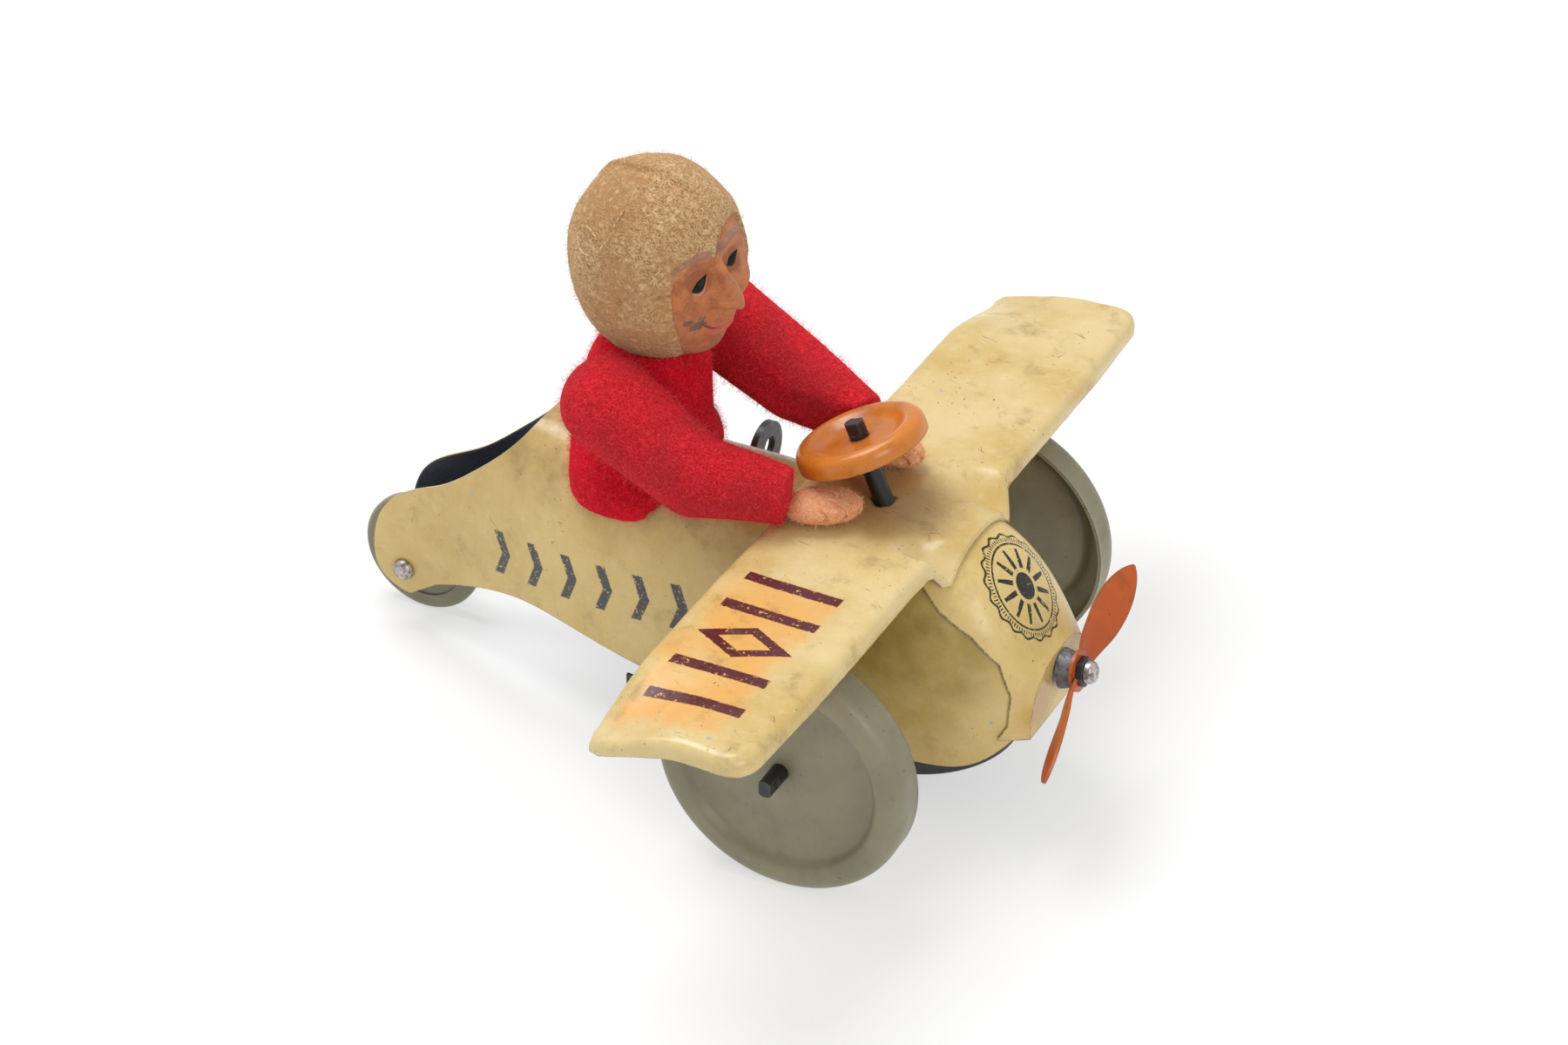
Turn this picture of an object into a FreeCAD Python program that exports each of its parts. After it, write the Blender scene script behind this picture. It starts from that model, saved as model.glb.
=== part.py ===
import FreeCAD, Part
import math
import os

# Wind-up tin aeroplane with a felt pilot, in millimetres. One solid per file.
# Origin on the floor under the middle of the toy; +X to the nose, +Y to port, +Z up.

V = FreeCAD.Vector
sideways = V(0, 1, 0)
up = V(0, 0, 1)

# Driving dimensions
tin = 0.5                     # pressed tinplate
seam = 0.05                   # gap between two pressings that lie on each other
running = 0.05                # radial clearance of a shaft in its hole
feltGap = 0.3                 # gap between felt and a part that moves past it

frontAxleX = 33.0
frontWheelR = 22.0
frontWheelSeat = 39.9         # outer face of the flat disc, from the middle plane
frontWheelInner = 35.2
frontWheelCrown = 42.0
frontAxleR = 1.5
frontAxleEnd = 45.2
rearAxleX = -58.2
rearWheelR = 11.3
rearWheelHalf = 1.4
rearAxleR = 1.0
tailHubHalf = 5.7
rivetHeadR = 2.0

ridgeZ = 48.4                 # top line of the fuselage
widestZ = 20.0                # height at which the fuselage is widest
noseX = 62.6
shellPower = 2.6              # squareness of the fuselage section
# x, half width and top of the fuselage at each station, from the tail to the nose
fuselageStations = [
    (-66.0, 6.5, 38.0), (-56.0, 6.7, 43.5), (-45.0, 8.2, 47.0), (-33.0, 11.2, 48.2),
    (-20.0, 14.0, ridgeZ), (-4.0, 15.9, ridgeZ), (16.0, 16.4, ridgeZ), (34.0, 16.4, ridgeZ),
    (44.0, 16.1, 48.2), (50.0, 15.6, 46.2), (54.5, 14.8, 42.4), (58.5, 13.4, 37.0),
    (61.2, 11.8, 32.6), (noseX, 10.2, 30.2),
]
# lower edge of the fuselage side, and the sloping mouth at the tail, as x and z
lowerEdge = [(-51.6, 10.2), (-41.4, 14.2), (-31.0, 16.6), (-21.8, 16.2), (-5.0, 13.6), (20.0, 12.2), (46.0, 12.0),
             (54.0, 13.6), (60.0, 18.6), (noseX, 22.6)]
tailMouth = [(-30.5, 49.5), (-34.5, 44.2), (-42.0, 37.2), (-50.0, 31.2), (-56.0, 28.2), (-61.2, 24.0)]
tailLobeR = 5.4

wingLeX = 45.4
wingTeX = 16.8
wingHalfSpan = 74.5
wingTopZ = 49.4
wingDepth = 2.8
wingBendR = 2.2
wingRakeY = 58.9              # where the trailing edge starts to curve to the tip
wingTailTipY = 72.3
wingDroop = 4.2               # drop of the rear corner of each tip
tongueX = 50.6
tongueHalf = 11.5

trayBottomZ = 9.3
trayRimZ = 12.4
trayHalf = 17.0
trayRearX = -8.0
trayFrontCentreX = 38.6

plateY = 9.5                  # outer face of each clock plate
plateT = 0.8
plateTopZ = 41.0
module = 0.5
arborXZ = (-3.0, 29.0)
secondXZ = (11.7, 26.0)
idlerXZ = (24.19, 25.57)
frontXZ = (frontAxleX, frontWheelR)
greatTeeth = 48
secondPinionTeeth = 12
secondWheelTeeth = 24
idlerTeeth = 26
axlePinionTeeth = 12
ratchetTeeth = 12
arborR = 1.5
shaftR = 1.0
greatY = -6.6
wheelY = -0.5
pillarXZ = [(-14.0, 38.0), (-12.5, 18.2), (39.0, 37.0), (45.0, 15.5)]

propTilt = 8.0
propFootZ = 26.7
propR = 21.5
propPitch = -38.0
propSweep = 6.0
propHubX = 3.9                # middle of the propeller's hub ahead of the nose
propLine = 24.0               # the blades' line above the horizontal at rest
propPinR = 1.0

columnFoot = V(31.6, 0, 48.2)
columnLean = 23.0
columnR = 1.6
steeringR = 11.0
steeringUp = 12.6             # from the foot of the column to the wheel's disc
columnUp = 15.8

headCentre = V(-10.5, 0, 86.0)
headYaw = -16.0               # the face is turned to starboard at rest
neckPinR = 0.9
helmetSize = (16.3, 15.4, 17.7)
headSize = (14.7, 13.9, 16.2)
maskSize = (15.6, 14.5, 16.9)
neckZ = 69.4
shoulder = (-10.0, 16.6, 65.0)
shoulderWireR = 0.8
torsoFlank = 9.6


def cylinder(radius, start, axis, length):
    return Part.makeCylinder(radius, length, start, axis)


def crossShaft(radius, xz, yFrom, yTo):
    return cylinder(radius, V(xz[0], yFrom, xz[1]), sideways, yTo - yFrom)


def ellipsoid(centre, size):
    ball = Part.makeSphere(1.0)
    matrix = FreeCAD.Matrix()
    matrix.scale(size[0], size[1], size[2])
    ball = ball.transformGeometry(matrix)
    ball.translate(centre)
    return ball


def splineWire(points, closed=False):
    curve = Part.BSplineCurve()
    curve.interpolate(Points=points, PeriodicFlag=closed)
    return curve.toShape()


def strip(points, thickness, place):
    """The face of a bent sheet of one thickness: points are its middle line as (u, v) pairs."""
    sides = ([], [])
    last = len(points) - 1
    for i, point in enumerate(points):
        before = points[max(i - 1, 0)]
        after = points[min(i + 1, last)]
        run = math.hypot(after[0] - before[0], after[1] - before[1])
        normal = (-(after[1] - before[1]) / run, (after[0] - before[0]) / run)
        for side, sign in zip(sides, (0.5, -0.5)):
            side.append(place(point[0] + sign * thickness * normal[0], point[1] + sign * thickness * normal[1]))
    first, second = sides
    edges = [splineWire(first), Part.makeLine(first[-1], second[-1]), splineWire(second), Part.makeLine(second[0], first[0])]
    return Part.Face(Part.Wire(Part.__sortEdges__(edges)))


def outlineFace(corners, y):
    return Part.Face(Part.makePolygon([V(x, y, z) for x, z in corners + corners[:1]]))


def sectionWire(x, halfWidth, top, grow):
    """One closed section of the fuselage, grown all round by the given amount."""
    width = halfWidth + grow
    height = top + grow - widestZ
    count = 48
    points = []
    for i in range(count):
        angle = 2 * math.pi * (i + 0.5) / count
        c, s = math.cos(angle), math.sin(angle)
        y = width * math.copysign(abs(c) ** (2 / shellPower), c)
        z = widestZ + height * math.copysign(abs(s) ** (2 / shellPower), s)
        points.append(V(x, y, z))
    return Part.Wire(splineWire(points, closed=True))


def fuselageSolid(grow):
    """The fuselage's full outer body, grown by the given amount, closed below and at both ends."""
    stations = [list(station) for station in fuselageStations]
    stations[0][0] -= grow
    stations[-1][0] += grow
    return Part.makeLoft([sectionWire(x, w, top, grow) for x, w, top in stations], True, False)


def sideOutline():
    """Side view of the fuselage: lower edge, tail lobe round the rear axle, sloping mouth and a top line above it."""
    axle = V(rearAxleX, 0, rearWheelR)
    low = [V(x, 0, z) for x, z in lowerEdge]
    mouth = [V(x, 0, z) for x, z in tailMouth]
    lobeLow = axle + V(0.6, 0, -tailLobeR)
    lobeMid = axle + V(-tailLobeR * 0.75, 0, -tailLobeR * 0.66)
    lobeHigh = axle + V(-tailLobeR - 0.6, 0, 1.6)
    top = [mouth[0], V(mouth[0].x, 0, 60), V(80, 0, 60), V(80, 0, low[-1].z), low[-1]]
    edges = [splineWire([low[-1]] + low[-2::-1]), Part.makeLine(low[0], lobeLow)]
    edges.append(Part.Arc(lobeLow, lobeMid, lobeHigh).toShape())
    edges.append(splineWire([lobeHigh, V(-63.6, 0, 18.6)] + mouth[::-1]))
    edges += [Part.makeLine(top[i], top[i + 1]) for i in range(len(top) - 1)]
    face = Part.Face(Part.Wire(Part.__sortEdges__(edges)))
    return face.extrude(V(0, 60, 0)).common(Part.makeBox(200, 60, 80, V(-90, 0, 0))).fuse(
        face.extrude(V(0, -60, 0))).removeSplitter()


def mirrored(shape):
    return shape.mirror(V(0, 0, 0), sideways)


def fuselageShell():
    shell = fuselageSolid(0).common(sideOutline()).cut(fuselageSolid(-tin))
    holes = [crossShaft(frontAxleR + running, frontXZ, -20, 20), crossShaft(rearAxleR, (rearAxleX, rearWheelR), -9, 9),
             crossShaft(arborR + 0.6, arborXZ, 9, 20), columnHole(), cylinder(seatScrewR(), V(seatX(), 0, 40), up, 12)]
    for hole in holes:
        shell = shell.cut(hole)
    return shell.cut(propellerPin())


def seatX():
    return headCentre.x - 2.5


def seatScrewR():
    return 1.2


def noseCowl():
    """The strip that closes the nose: it lies on the front of the fuselage, with a seam down each cheek."""
    band = fuselageSolid(seam + tin).cut(fuselageSolid(seam))
    seamLine = [(42.6, 44.6), (47.5, 40.6), (53.0, 37.4), (57.6, 33.0), (60.0, 27.6), (60.0, 22.4), (58.6, 19.8)]
    beyond = [(66.0, 19.0), (66.0, 50.5), (42.6, 50.5)]
    front = outlineFace(seamLine + beyond, -30).extrude(V(0, 60, 0))
    lid = Part.makeBox(30, 60, 20, V(42.6, -30, 44.6)).common(fuselageSolid(2))
    band = band.common(front.fuse(lid)).cut(propellerPin())
    return band.cut(wingPlate())


def wingOutline(inset):
    """Plan view of the wing: straight edges, a small round front corner and a raked round tip."""
    le = wingLeX - inset
    te = wingTeX + inset
    tip = wingHalfSpan - inset
    rearTip = wingTailTipY - inset
    corner = 4.0 - inset
    bow = 1.2
    edges = []
    for s in (1, -1):
        a = V(te, s * (wingRakeY - 30), 0)
        b = V(te, s * wingRakeY, 0)
        c = V(te - 0.6, s * rearTip, 0)
        d = V(le - corner - 0.4, s * tip, 0)
        e = V(le, s * (tip - corner - 1.0), 0)
        middle = (c + d) * 0.5 + V(-0.4, s * bow, 0)
        bend = V(le - corner * 0.27, s * (tip - corner * 0.27 - 0.4), 0)
        edges += [Part.makeLine(a, b), Part.makeLine(b, c), Part.Arc(c, middle, d).toShape(), Part.Arc(d, bend, e).toShape()]
    edges.append(Part.makeLine(V(te, wingRakeY - 30, 0), V(te, 30 - wingRakeY, 0)))
    edges.append(Part.makeLine(V(le, tip - corner - 1.0, 0), V(le, corner + 1.0 - tip, 0)))
    return Part.Face(Part.Wire(Part.__sortEdges__(edges)))


def wingBlock(inset):
    """The wing as a solid slab with its upper edges rounded over and the rear corner of each tip let down."""
    face = wingOutline(inset)
    face.translate(V(0, 0, wingTopZ - wingDepth))
    slab = face.extrude(V(0, 0, wingDepth - inset))
    top = [e for e in slab.Edges if e.BoundBox.ZMin > wingTopZ - inset - 0.01]
    slab = slab.makeFillet(wingBendR - inset, top)
    for s in (1, -1):
        drop = V(0, 0, -inset)
        one = V(wingTeX, s * (wingRakeY - 2), wingTopZ) + drop
        two = V(33.0, s * (wingHalfSpan + 1), wingTopZ) + drop
        three = V(wingTeX - 0.6, s * (wingTailTipY + 0.6), wingTopZ - wingDroop) + drop
        normal = (two - one).cross(three - one)
        normal = normal if normal.z > 0 else -normal
        normal.normalize()
        middle = (one + two + three) * (1 / 3)
        corners = [middle + (p - middle) * 4 for p in (one, two, three)]
        slab = slab.cut(Part.Face(Part.makePolygon(corners + corners[:1])).extrude(normal * 9))
    return slab


def wingPlate():
    """The wing, pressed with its edges turned down, and the tongue bent down over the nose."""
    wing = wingBlock(0).cut(wingBlock(tin)).cut(fuselageSolid(2 * seam))
    tongue = fuselageSolid(tin + 3 * seam + tin).cut(fuselageSolid(tin + 3 * seam))
    window = Part.makeBox(tongueX - 42.0, 2 * tongueHalf, 12, V(42.0, -tongueHalf, 41))
    front = [e for e in window.Edges if abs(e.BoundBox.XMin - tongueX) < 0.01 and e.BoundBox.ZLength > 5]
    window = window.makeFillet(4.0, front)
    wing = wing.cut(fuselageSolid(tin + 3 * seam).common(window)).fuse(tongue.common(window)).removeSplitter()
    return wing.cut(columnHole())


def bellyTray():
    """The black tray under the clockwork, with a round front and a turned-up rim outside the cheeks."""
    def block(inset, zFrom, zTo):
        half = trayHalf - inset
        box = Part.makeBox(trayFrontCentreX - trayRearX, 2 * half, zTo - zFrom, V(trayRearX, -half, zFrom))
        return box.fuse(cylinder(half, V(trayFrontCentreX, 0, zFrom), up, zTo - zFrom)).removeSplitter()
    tray = block(0, trayBottomZ, trayRimZ).cut(block(tin, trayBottomZ + tin, trayRimZ + 1))
    opening = Part.makeBox(2, 2 * (trayHalf - tin), 4, V(trayRearX - 1, -(trayHalf - tin), trayBottomZ + tin))
    return tray.cut(opening)


def clockPlate(side):
    inner = plateY - plateT
    floor = trayBottomZ + tin
    corners = [(-17, 19.5), (-6, floor), (48, floor), (48, 24), (42, plateTopZ), (-17, plateTopZ)]
    plate = outlineFace(corners, inner).extrude(V(0, plateT, 0))
    if side < 0:
        plate = mirrored(plate)
    for xz, radius in ((arborXZ, arborR), (secondXZ, shaftR), (idlerXZ, shaftR), (frontXZ, frontAxleR)):
        plate = plate.cut(crossShaft(radius + running, xz, -12, 12))
    for xz in pillarXZ:
        plate = plate.cut(crossShaft(0.7, xz, -12, 12))
    return plate


def clockPillar(xz):
    inner = plateY - plateT
    pillar = crossShaft(1.2, xz, -inner, inner)
    return pillar.fuse(crossShaft(0.7, xz, -plateY - 0.5, plateY + 0.5)).removeSplitter()


def gear(teeth, xz, y, width, phase, bore):
    """A spur gear about an axis along Y, with true involute flanks and a little backlash."""
    pitchR = module * teeth / 2
    baseR = pitchR * math.cos(math.radians(20))
    tipR = pitchR + 0.9 * module
    rootR = pitchR - 1.2 * module
    halfTooth = math.pi / (2 * teeth) - 0.04 / pitchR
    involute = math.tan(math.radians(20)) - math.radians(20)
    startR = max(baseR, rootR)
    flank = []
    for i in range(4):
        r = startR + (tipR - startR) * i / 3
        roll = math.acos(min(1.0, baseR / r))
        flank.append((r, halfTooth + involute - (math.tan(roll) - roll)))
    if rootR < startR:
        flank.insert(0, (rootR, flank[0][1]))
    corners = []
    for tooth in range(teeth):
        middle = phase + 2 * math.pi * tooth / teeth
        for r, off in flank:
            corners.append((xz[0] + r * math.cos(middle - off), xz[1] + r * math.sin(middle - off)))
        for r, off in reversed(flank):
            corners.append((xz[0] + r * math.cos(middle + off), xz[1] + r * math.sin(middle + off)))
    body = outlineFace(corners, y).extrude(V(0, width, 0))
    return body.cut(crossShaft(bore, xz, y - 1, y + width + 1))


def meshPhase(phaseA, teethA, teethB, fromXZ, toXZ):
    """The phase that puts gear B in mesh with gear A."""
    line = math.atan2(toXZ[1] - fromXZ[1], toXZ[0] - fromXZ[0])
    return line + math.pi - math.pi / teethB - (phaseA - line) * teethA / teethB


def clockTrain():
    great = 0.0
    secondPinion = meshPhase(great, greatTeeth, secondPinionTeeth, arborXZ, secondXZ)
    secondWheel = 0.0
    idler = meshPhase(secondWheel, secondWheelTeeth, idlerTeeth, secondXZ, idlerXZ)
    axlePinion = meshPhase(idler, idlerTeeth, axlePinionTeeth, idlerXZ, frontXZ)
    inner = plateY - plateT
    ends = plateY + 0.4
    wheels = {
        "great_wheel": gear(greatTeeth, arborXZ, greatY, 1.2, great, arborR + running),
        "second_pinion": gear(secondPinionTeeth, secondXZ, greatY - 0.6, 2.4, secondPinion, shaftR),
        "second_wheel": gear(secondWheelTeeth, secondXZ, wheelY, 1.0, secondWheel, shaftR),
        "idler_wheel": gear(idlerTeeth, idlerXZ, wheelY, 1.0, idler, shaftR),
        "axle_pinion": gear(axlePinionTeeth, frontXZ, wheelY - 1.0, 3.0, axlePinion, frontAxleR),
        "second_shaft": crossShaft(shaftR, secondXZ, -ends, ends),
        "idler_shaft": crossShaft(shaftR, idlerXZ, -ends, ends),
    }
    for name, xz in (("second_wheel", secondXZ), ("idler_wheel", idlerXZ)):
        boss = crossShaft(2.0, xz, wheelY + 1.0, wheelY + 2.4).cut(crossShaft(shaftR, xz, -inner, inner))
        wheels[name] = wheels[name].fuse(boss).removeSplitter()
    return wheels


def ratchetWheel():
    corners = []
    for i in range(ratchetTeeth):
        for radius, turn in ((4.6, 0.0), (3.6, 0.85)):
            angle = 2 * math.pi * (i + turn) / ratchetTeeth
            corners.append((arborXZ[0] + radius * math.cos(angle), arborXZ[1] + radius * math.sin(angle)))
    wheel = outlineFace(corners, greatY + 1.3).extrude(V(0, 1.0, 0))
    return wheel.cut(crossShaft(arborR, arborXZ, greatY, greatY + 3))


def clickPawl():
    """The pawl on the great wheel, just clear of the ratchet's tooth tips, with its own rivet."""
    x, z = arborXZ
    corners = [(x + 4.9, z + 0.5), (x + 5.4, z - 0.9), (x + 8.8, z + 2.6), (x + 9.4, z + 5.0), (x + 7.6, z + 5.2)]
    pawl = outlineFace(corners, greatY + 1.3).extrude(V(0, 0.9, 0))
    head = crossShaft(1.0, (x + 8.4, z + 4.2), greatY + 1.2, greatY + 2.8)
    return pawl.fuse(head).removeSplitter()


def mainspring():
    """The spiral spring as a flat strip wound about the arbor."""
    turns = 5.5
    innerR, outerR = 2.3, 10.2
    count = int(turns * 16)
    points = []
    for i in range(count + 1):
        angle = 2 * math.pi * turns * i / count
        radius = innerR + (outerR - innerR) * i / count
        points.append((radius * math.cos(angle), radius * math.sin(angle)))
    face = strip(points, 0.35, lambda u, v: V(arborXZ[0] + u, 1.4, arborXZ[1] + v))
    return face.extrude(V(0, 6.4, 0))


def windingArbor():
    ends = -plateY - 0.4
    arbor = crossShaft(arborR, arborXZ, ends, 19.0)
    square = Part.makeBox(2.1, 5.5, 2.1, V(arborXZ[0] - 1.05, 19.0, arborXZ[1] - 1.05))
    return arbor.fuse(square).removeSplitter()


def windingKey():
    """A flat two-lobed key with a boss that sits on the arbor's square end."""
    x, z = arborXZ
    boss = crossShaft(2.6, arborXZ, 18.0, 24.8)
    plate = Part.makeBox(1.2, 4.4, 8.0, V(x - 0.6, 20.2, z - 4.0))
    key = boss.fuse(plate)
    for s in (1, -1):
        lobe = cylinder(5.2, V(x - 0.6, 23.4, z + s * 6.4), V(1, 0, 0), 1.2)
        key = key.fuse(lobe)
    for s in (1, -1):
        key = key.cut(cylinder(1.9, V(x - 2, 24.0, z + s * 6.8), V(1, 0, 0), 4))
    return key.removeSplitter().cut(windingArbor())


def frontAxle():
    """The axle, with each end pinched to two flats outside the wheel."""
    axle = crossShaft(frontAxleR, frontXZ, -frontAxleEnd, frontAxleEnd)
    for s in (1, -1):
        for side in (1, -1):
            offset = 1.05 if side > 0 else -1.05 - 4
            y = frontWheelCrown + 0.9 if s > 0 else -frontAxleEnd - 1
            axle = axle.cut(Part.makeBox(4, 3.3, 4, V(frontAxleX + offset, y, frontWheelR - 2)))
    return axle


def frontWheel():
    """The port front wheel: a flat disc, a rounded rim standing proud of it and a tread turned inwards."""
    half = tin / 2 + 0.05
    crown = frontWheelCrown - half
    seat = frontWheelSeat - half
    tread = frontWheelR - half
    line = [(frontAxleR, seat), (8.0, seat), (15.6, seat), (16.6, seat + 0.35), (17.7, crown - 0.35), (18.9, crown),
            (20.3, crown - 0.25), (21.2, crown - 1.0), (tread, crown - 2.2), (tread, crown - 4.0), (tread, frontWheelInner)]
    face = strip(line, 2 * half, lambda r, y: V(frontAxleX + r, y, frontWheelR))
    wheel = face.revolve(V(frontAxleX, 0, frontWheelR), sideways, 360)
    hub = crossShaft(2.8, frontXZ, seat - 1.6, seat)
    return wheel.fuse(hub).cut(crossShaft(frontAxleR, frontXZ, 20, 50)).removeSplitter()


def rearWheel():
    """The small wheel, with a sleeve that keeps it in the middle between the tail cheeks."""
    xz = (rearAxleX, rearWheelR)
    wheel = crossShaft(rearWheelR, xz, -rearWheelHalf, rearWheelHalf)
    rim = [e for e in wheel.Edges if e.Length > 30 and e.BoundBox.YLength < 0.01]
    wheel = wheel.makeFillet(1.0, rim)
    for s in (1, -1):
        y = rearWheelHalf - 0.35 if s > 0 else -rearWheelHalf - 0.65
        wheel = wheel.cut(crossShaft(8.4, xz, y, y + 1.0))
    wheel = wheel.fuse(crossShaft(1.9, xz, -tailHubHalf, tailHubHalf))
    return wheel.cut(crossShaft(rearAxleR + running, xz, -8, 8)).removeSplitter()


def rearAxle():
    xz = (rearAxleX, rearWheelR)
    cheek = 6.75
    rivet = crossShaft(rearAxleR, xz, -cheek, cheek)
    dome = ellipsoid(V(rearAxleX, cheek, rearWheelR), (rivetHeadR, 1.5, rivetHeadR))
    dome = dome.common(Part.makeBox(10, 5, 10, V(rearAxleX - 5, cheek, rearWheelR - 5)))
    return rivet.fuse(dome).fuse(mirrored(dome)).removeSplitter()


def onPropellerAxis(shape):
    """Moves a shape made about +X at the origin to the propeller's tilted axis on the nose."""
    shape.rotate(V(0, 0, 0), sideways, -propTilt)
    shape.translate(V(noseX, 0, propFootZ))
    return shape


def propellerPin():
    ahead = V(1, 0, 0)
    pin = cylinder(propPinR, V(-3.6, 0, 0), ahead, 9.4)
    back = cylinder(1.8, V(-2.6, 0, 0), ahead, 1.0)
    head = cylinder(1.9, V(5.5, 0, 0), ahead, 1.4)
    head = head.makeFillet(0.75, [e for e in head.Edges if e.BoundBox.XMin > 6.8])
    return onPropellerAxis(pin.fuse(back).fuse(head).removeSplitter())


def propellerSleeve(radius, start, length, endRadius=None):
    ahead = V(1, 0, 0)
    if endRadius is None:
        solid = cylinder(radius, V(start, 0, 0), ahead, length)
    else:
        solid = Part.makeCone(radius, endRadius, length, V(start, 0, 0), ahead)
    return solid.cut(cylinder(propPinR + running, V(-5, 0, 0), ahead, 20))


def propellerBush():
    return onPropellerAxis(propellerSleeve(3.4, 1.2, propHubX - 1.5, 2.9))


def propellerCollar():
    corners = [V(propHubX + 0.3, 2.5 * math.cos(math.pi * i / 3), 2.5 * math.sin(math.pi * i / 3)) for i in range(7)]
    collar = Part.Face(Part.makePolygon(corners)).extrude(V(1.2, 0, 0))
    return onPropellerAxis(collar.cut(cylinder(propPinR + running, V(-5, 0, 0), V(1, 0, 0), 20)))


def propeller():
    """Two petal blades twisted out of the plane of a round hub."""
    petal = [V(0, 3.2, -1.1), V(0, 7.0, -2.3), V(0, 12.5, -3.2), V(0, 17.5, -2.7), V(0, propR - 1.2, -1.3), V(0, propR, 0)]
    outline = petal + [V(0, p.y, -p.z) for p in petal[-2::-1]]
    thick = 0.6
    edges = [splineWire(outline), Part.makeLine(outline[-1], outline[0])]
    blade = Part.Face(Part.Wire(Part.__sortEdges__(edges))).extrude(V(thick, 0, 0))
    blade.translate(V(-thick / 2, 0, 0))
    blade.rotate(V(0, 0, 0), sideways, propPitch)
    blade.rotate(V(0, 0, 0), up, propSweep)
    hub = cylinder(3.4, V(-thick / 2, 0, 0), V(1, 0, 0), thick)
    other = blade.copy()
    other.rotate(V(0, 0, 0), V(1, 0, 0), 180)
    body = hub.fuse(blade).fuse(other)
    body = body.cut(cylinder(propPinR + running, V(-5, 0, 0), V(1, 0, 0), 20)).removeSplitter()
    body.rotate(V(0, 0, 0), V(1, 0, 0), propLine)
    body.translate(V(propHubX, 0, 0))
    return onPropellerAxis(body)


def columnAxis():
    lean = math.radians(columnLean)
    return V(-math.sin(lean), 0, math.cos(lean))


def columnHole():
    axis = columnAxis()
    return cylinder(columnR + running, columnFoot - axis * 6, axis, 12)


def steeringColumn():
    """The column, with its top end pinched to two flats above the wheel."""
    axis = columnAxis()
    column = cylinder(columnR, columnFoot - axis * 5, axis, columnUp + 5)
    top = columnFoot + axis * (steeringUp + 1.2)
    for s in (1, -1):
        flat = Part.makeBox(6, 3, 6, V(-3, 1.15 if s > 0 else -4.15, 0))
        flat.rotate(V(0, 0, 0), sideways, -columnLean)
        flat.translate(top)
        column = column.cut(flat)
    return column


def columnClip():
    axis = columnAxis()
    start = columnFoot - axis * 4.4
    return cylinder(3.2, start, axis, 0.8).cut(cylinder(columnR, start - axis, axis, 3))


def steeringWheel():
    """A dished wheel with a rolled rim, turned about the column."""
    thick = 0.7
    line = [(columnR, 0), (4.0, 0), (6.2, 0.05), (7.2, 0.5), (8.3, 1.15), (9.4, 1.3), (10.3, 0.8), (steeringR - thick / 2, -0.4),
            (steeringR - thick / 2, -1.6)]
    face = strip(line, thick, lambda r, h: V(r, 0, h))
    wheel = face.revolve(V(0, 0, 0), up, 360)
    wheel = wheel.fuse(Part.makeCylinder(2.8, 1.2, V(0, 0, -1.2)))
    wheel = wheel.cut(Part.makeCylinder(columnR, 10, V(0, 0, -5))).removeSplitter()
    wheel.rotate(V(0, 0, 0), sideways, -columnLean)
    wheel.translate(columnFoot + columnAxis() * steeringUp)
    return wheel


def ellipseWire(z, x, rx, ry):
    curve = Part.Ellipse(V(x, 0, z), max(rx, ry), min(rx, ry))
    wire = Part.Wire(curve.toShape())
    if ry > rx:
        wire.rotate(V(x, 0, z), up, 90)
    return wire


def torsoCore():
    foot = ridgeZ + seam
    core = cylinder(6.0, V(seatX(), 0, foot), up, 66.5 - foot)
    core = core.cut(cylinder(seatScrewR(), V(seatX(), 0, 40), up, 17))
    core = core.cut(cylinder(neckPinR, V(headCentre.x, 0, 60), up, 10))
    return core.cut(crossShaft(shoulderWireR, shoulder[::2], -9, 9))


def torsoJacket():
    """The felt jacket: a skirt that lies over the fuselage, a waist between the sleeves and a round collar."""
    levels = [(40.5, -12.6, 12.9, 14.9), (46.5, -12.6, 13.0, 14.6), (50.5, -12.7, 12.6, 12.0), (54.5, -12.6, 12.0, torsoFlank),
              (61.0, -12.2, 11.2, torsoFlank - 0.1), (66.5, -11.4, 9.4, 9.0), (neckZ - feltGap, -11.0, 7.4, 7.4)]
    jacket = Part.makeLoft([ellipseWire(*level) for level in levels], True, False)
    jacket = jacket.cut(fuselageSolid(2 * seam)).cut(cylinder(6.0, V(seatX(), 0, 40), up, 26.5))
    jacket = jacket.cut(cylinder(neckPinR, V(headCentre.x, 0, 60), up, 12))
    return jacket.cut(crossShaft(shoulderWireR, shoulder[::2], -20, 20))


def seatScrew():
    shank = cylinder(seatScrewR(), V(seatX(), 0, 46.0), up, 10.8)
    return shank.fuse(cylinder(2.4, V(seatX(), 0, 46.0), up, ridgeZ - tin - 46.2)).removeSplitter()


def neckPin():
    foot = shoulder[2] + shoulderWireR + 0.2
    return cylinder(neckPinR, V(headCentre.x, 0, foot), up, 82 - foot)


def shoulderWire():
    return crossShaft(shoulderWireR, shoulder[::2], -22.0, 22.0)


def sleeve(elbow, cuff):
    """A port sleeve: a tube of felt from the shoulder through the elbow to the cuff, flat on its inner side."""
    joints = [(V(*shoulder), 7.9), (elbow, 7.0), (cuff, 4.6)]
    body = Part.makeSphere(joints[0][1], joints[0][0])
    for (start, r0), (end, r1) in zip(joints, joints[1:]):
        body = body.fuse(Part.makeCone(r0, r1, (end - start).Length, start, end - start))
    body = body.fuse(Part.makeSphere(joints[1][1], joints[1][0]))
    inner = Part.makeBox(80, torsoFlank + feltGap, 80, V(-40, 0, 30))
    body = body.cut(inner).cut(fuselageSolid(0.5))
    body = body.cut(Part.makeBox(40, 60, 20, V(wingTeX - 0.6, 0, wingTopZ + feltGap - 20)))
    return body.cut(crossShaft(shoulderWireR + running, shoulder[::2], 0, 22.0 + feltGap)).removeSplitter()


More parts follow.
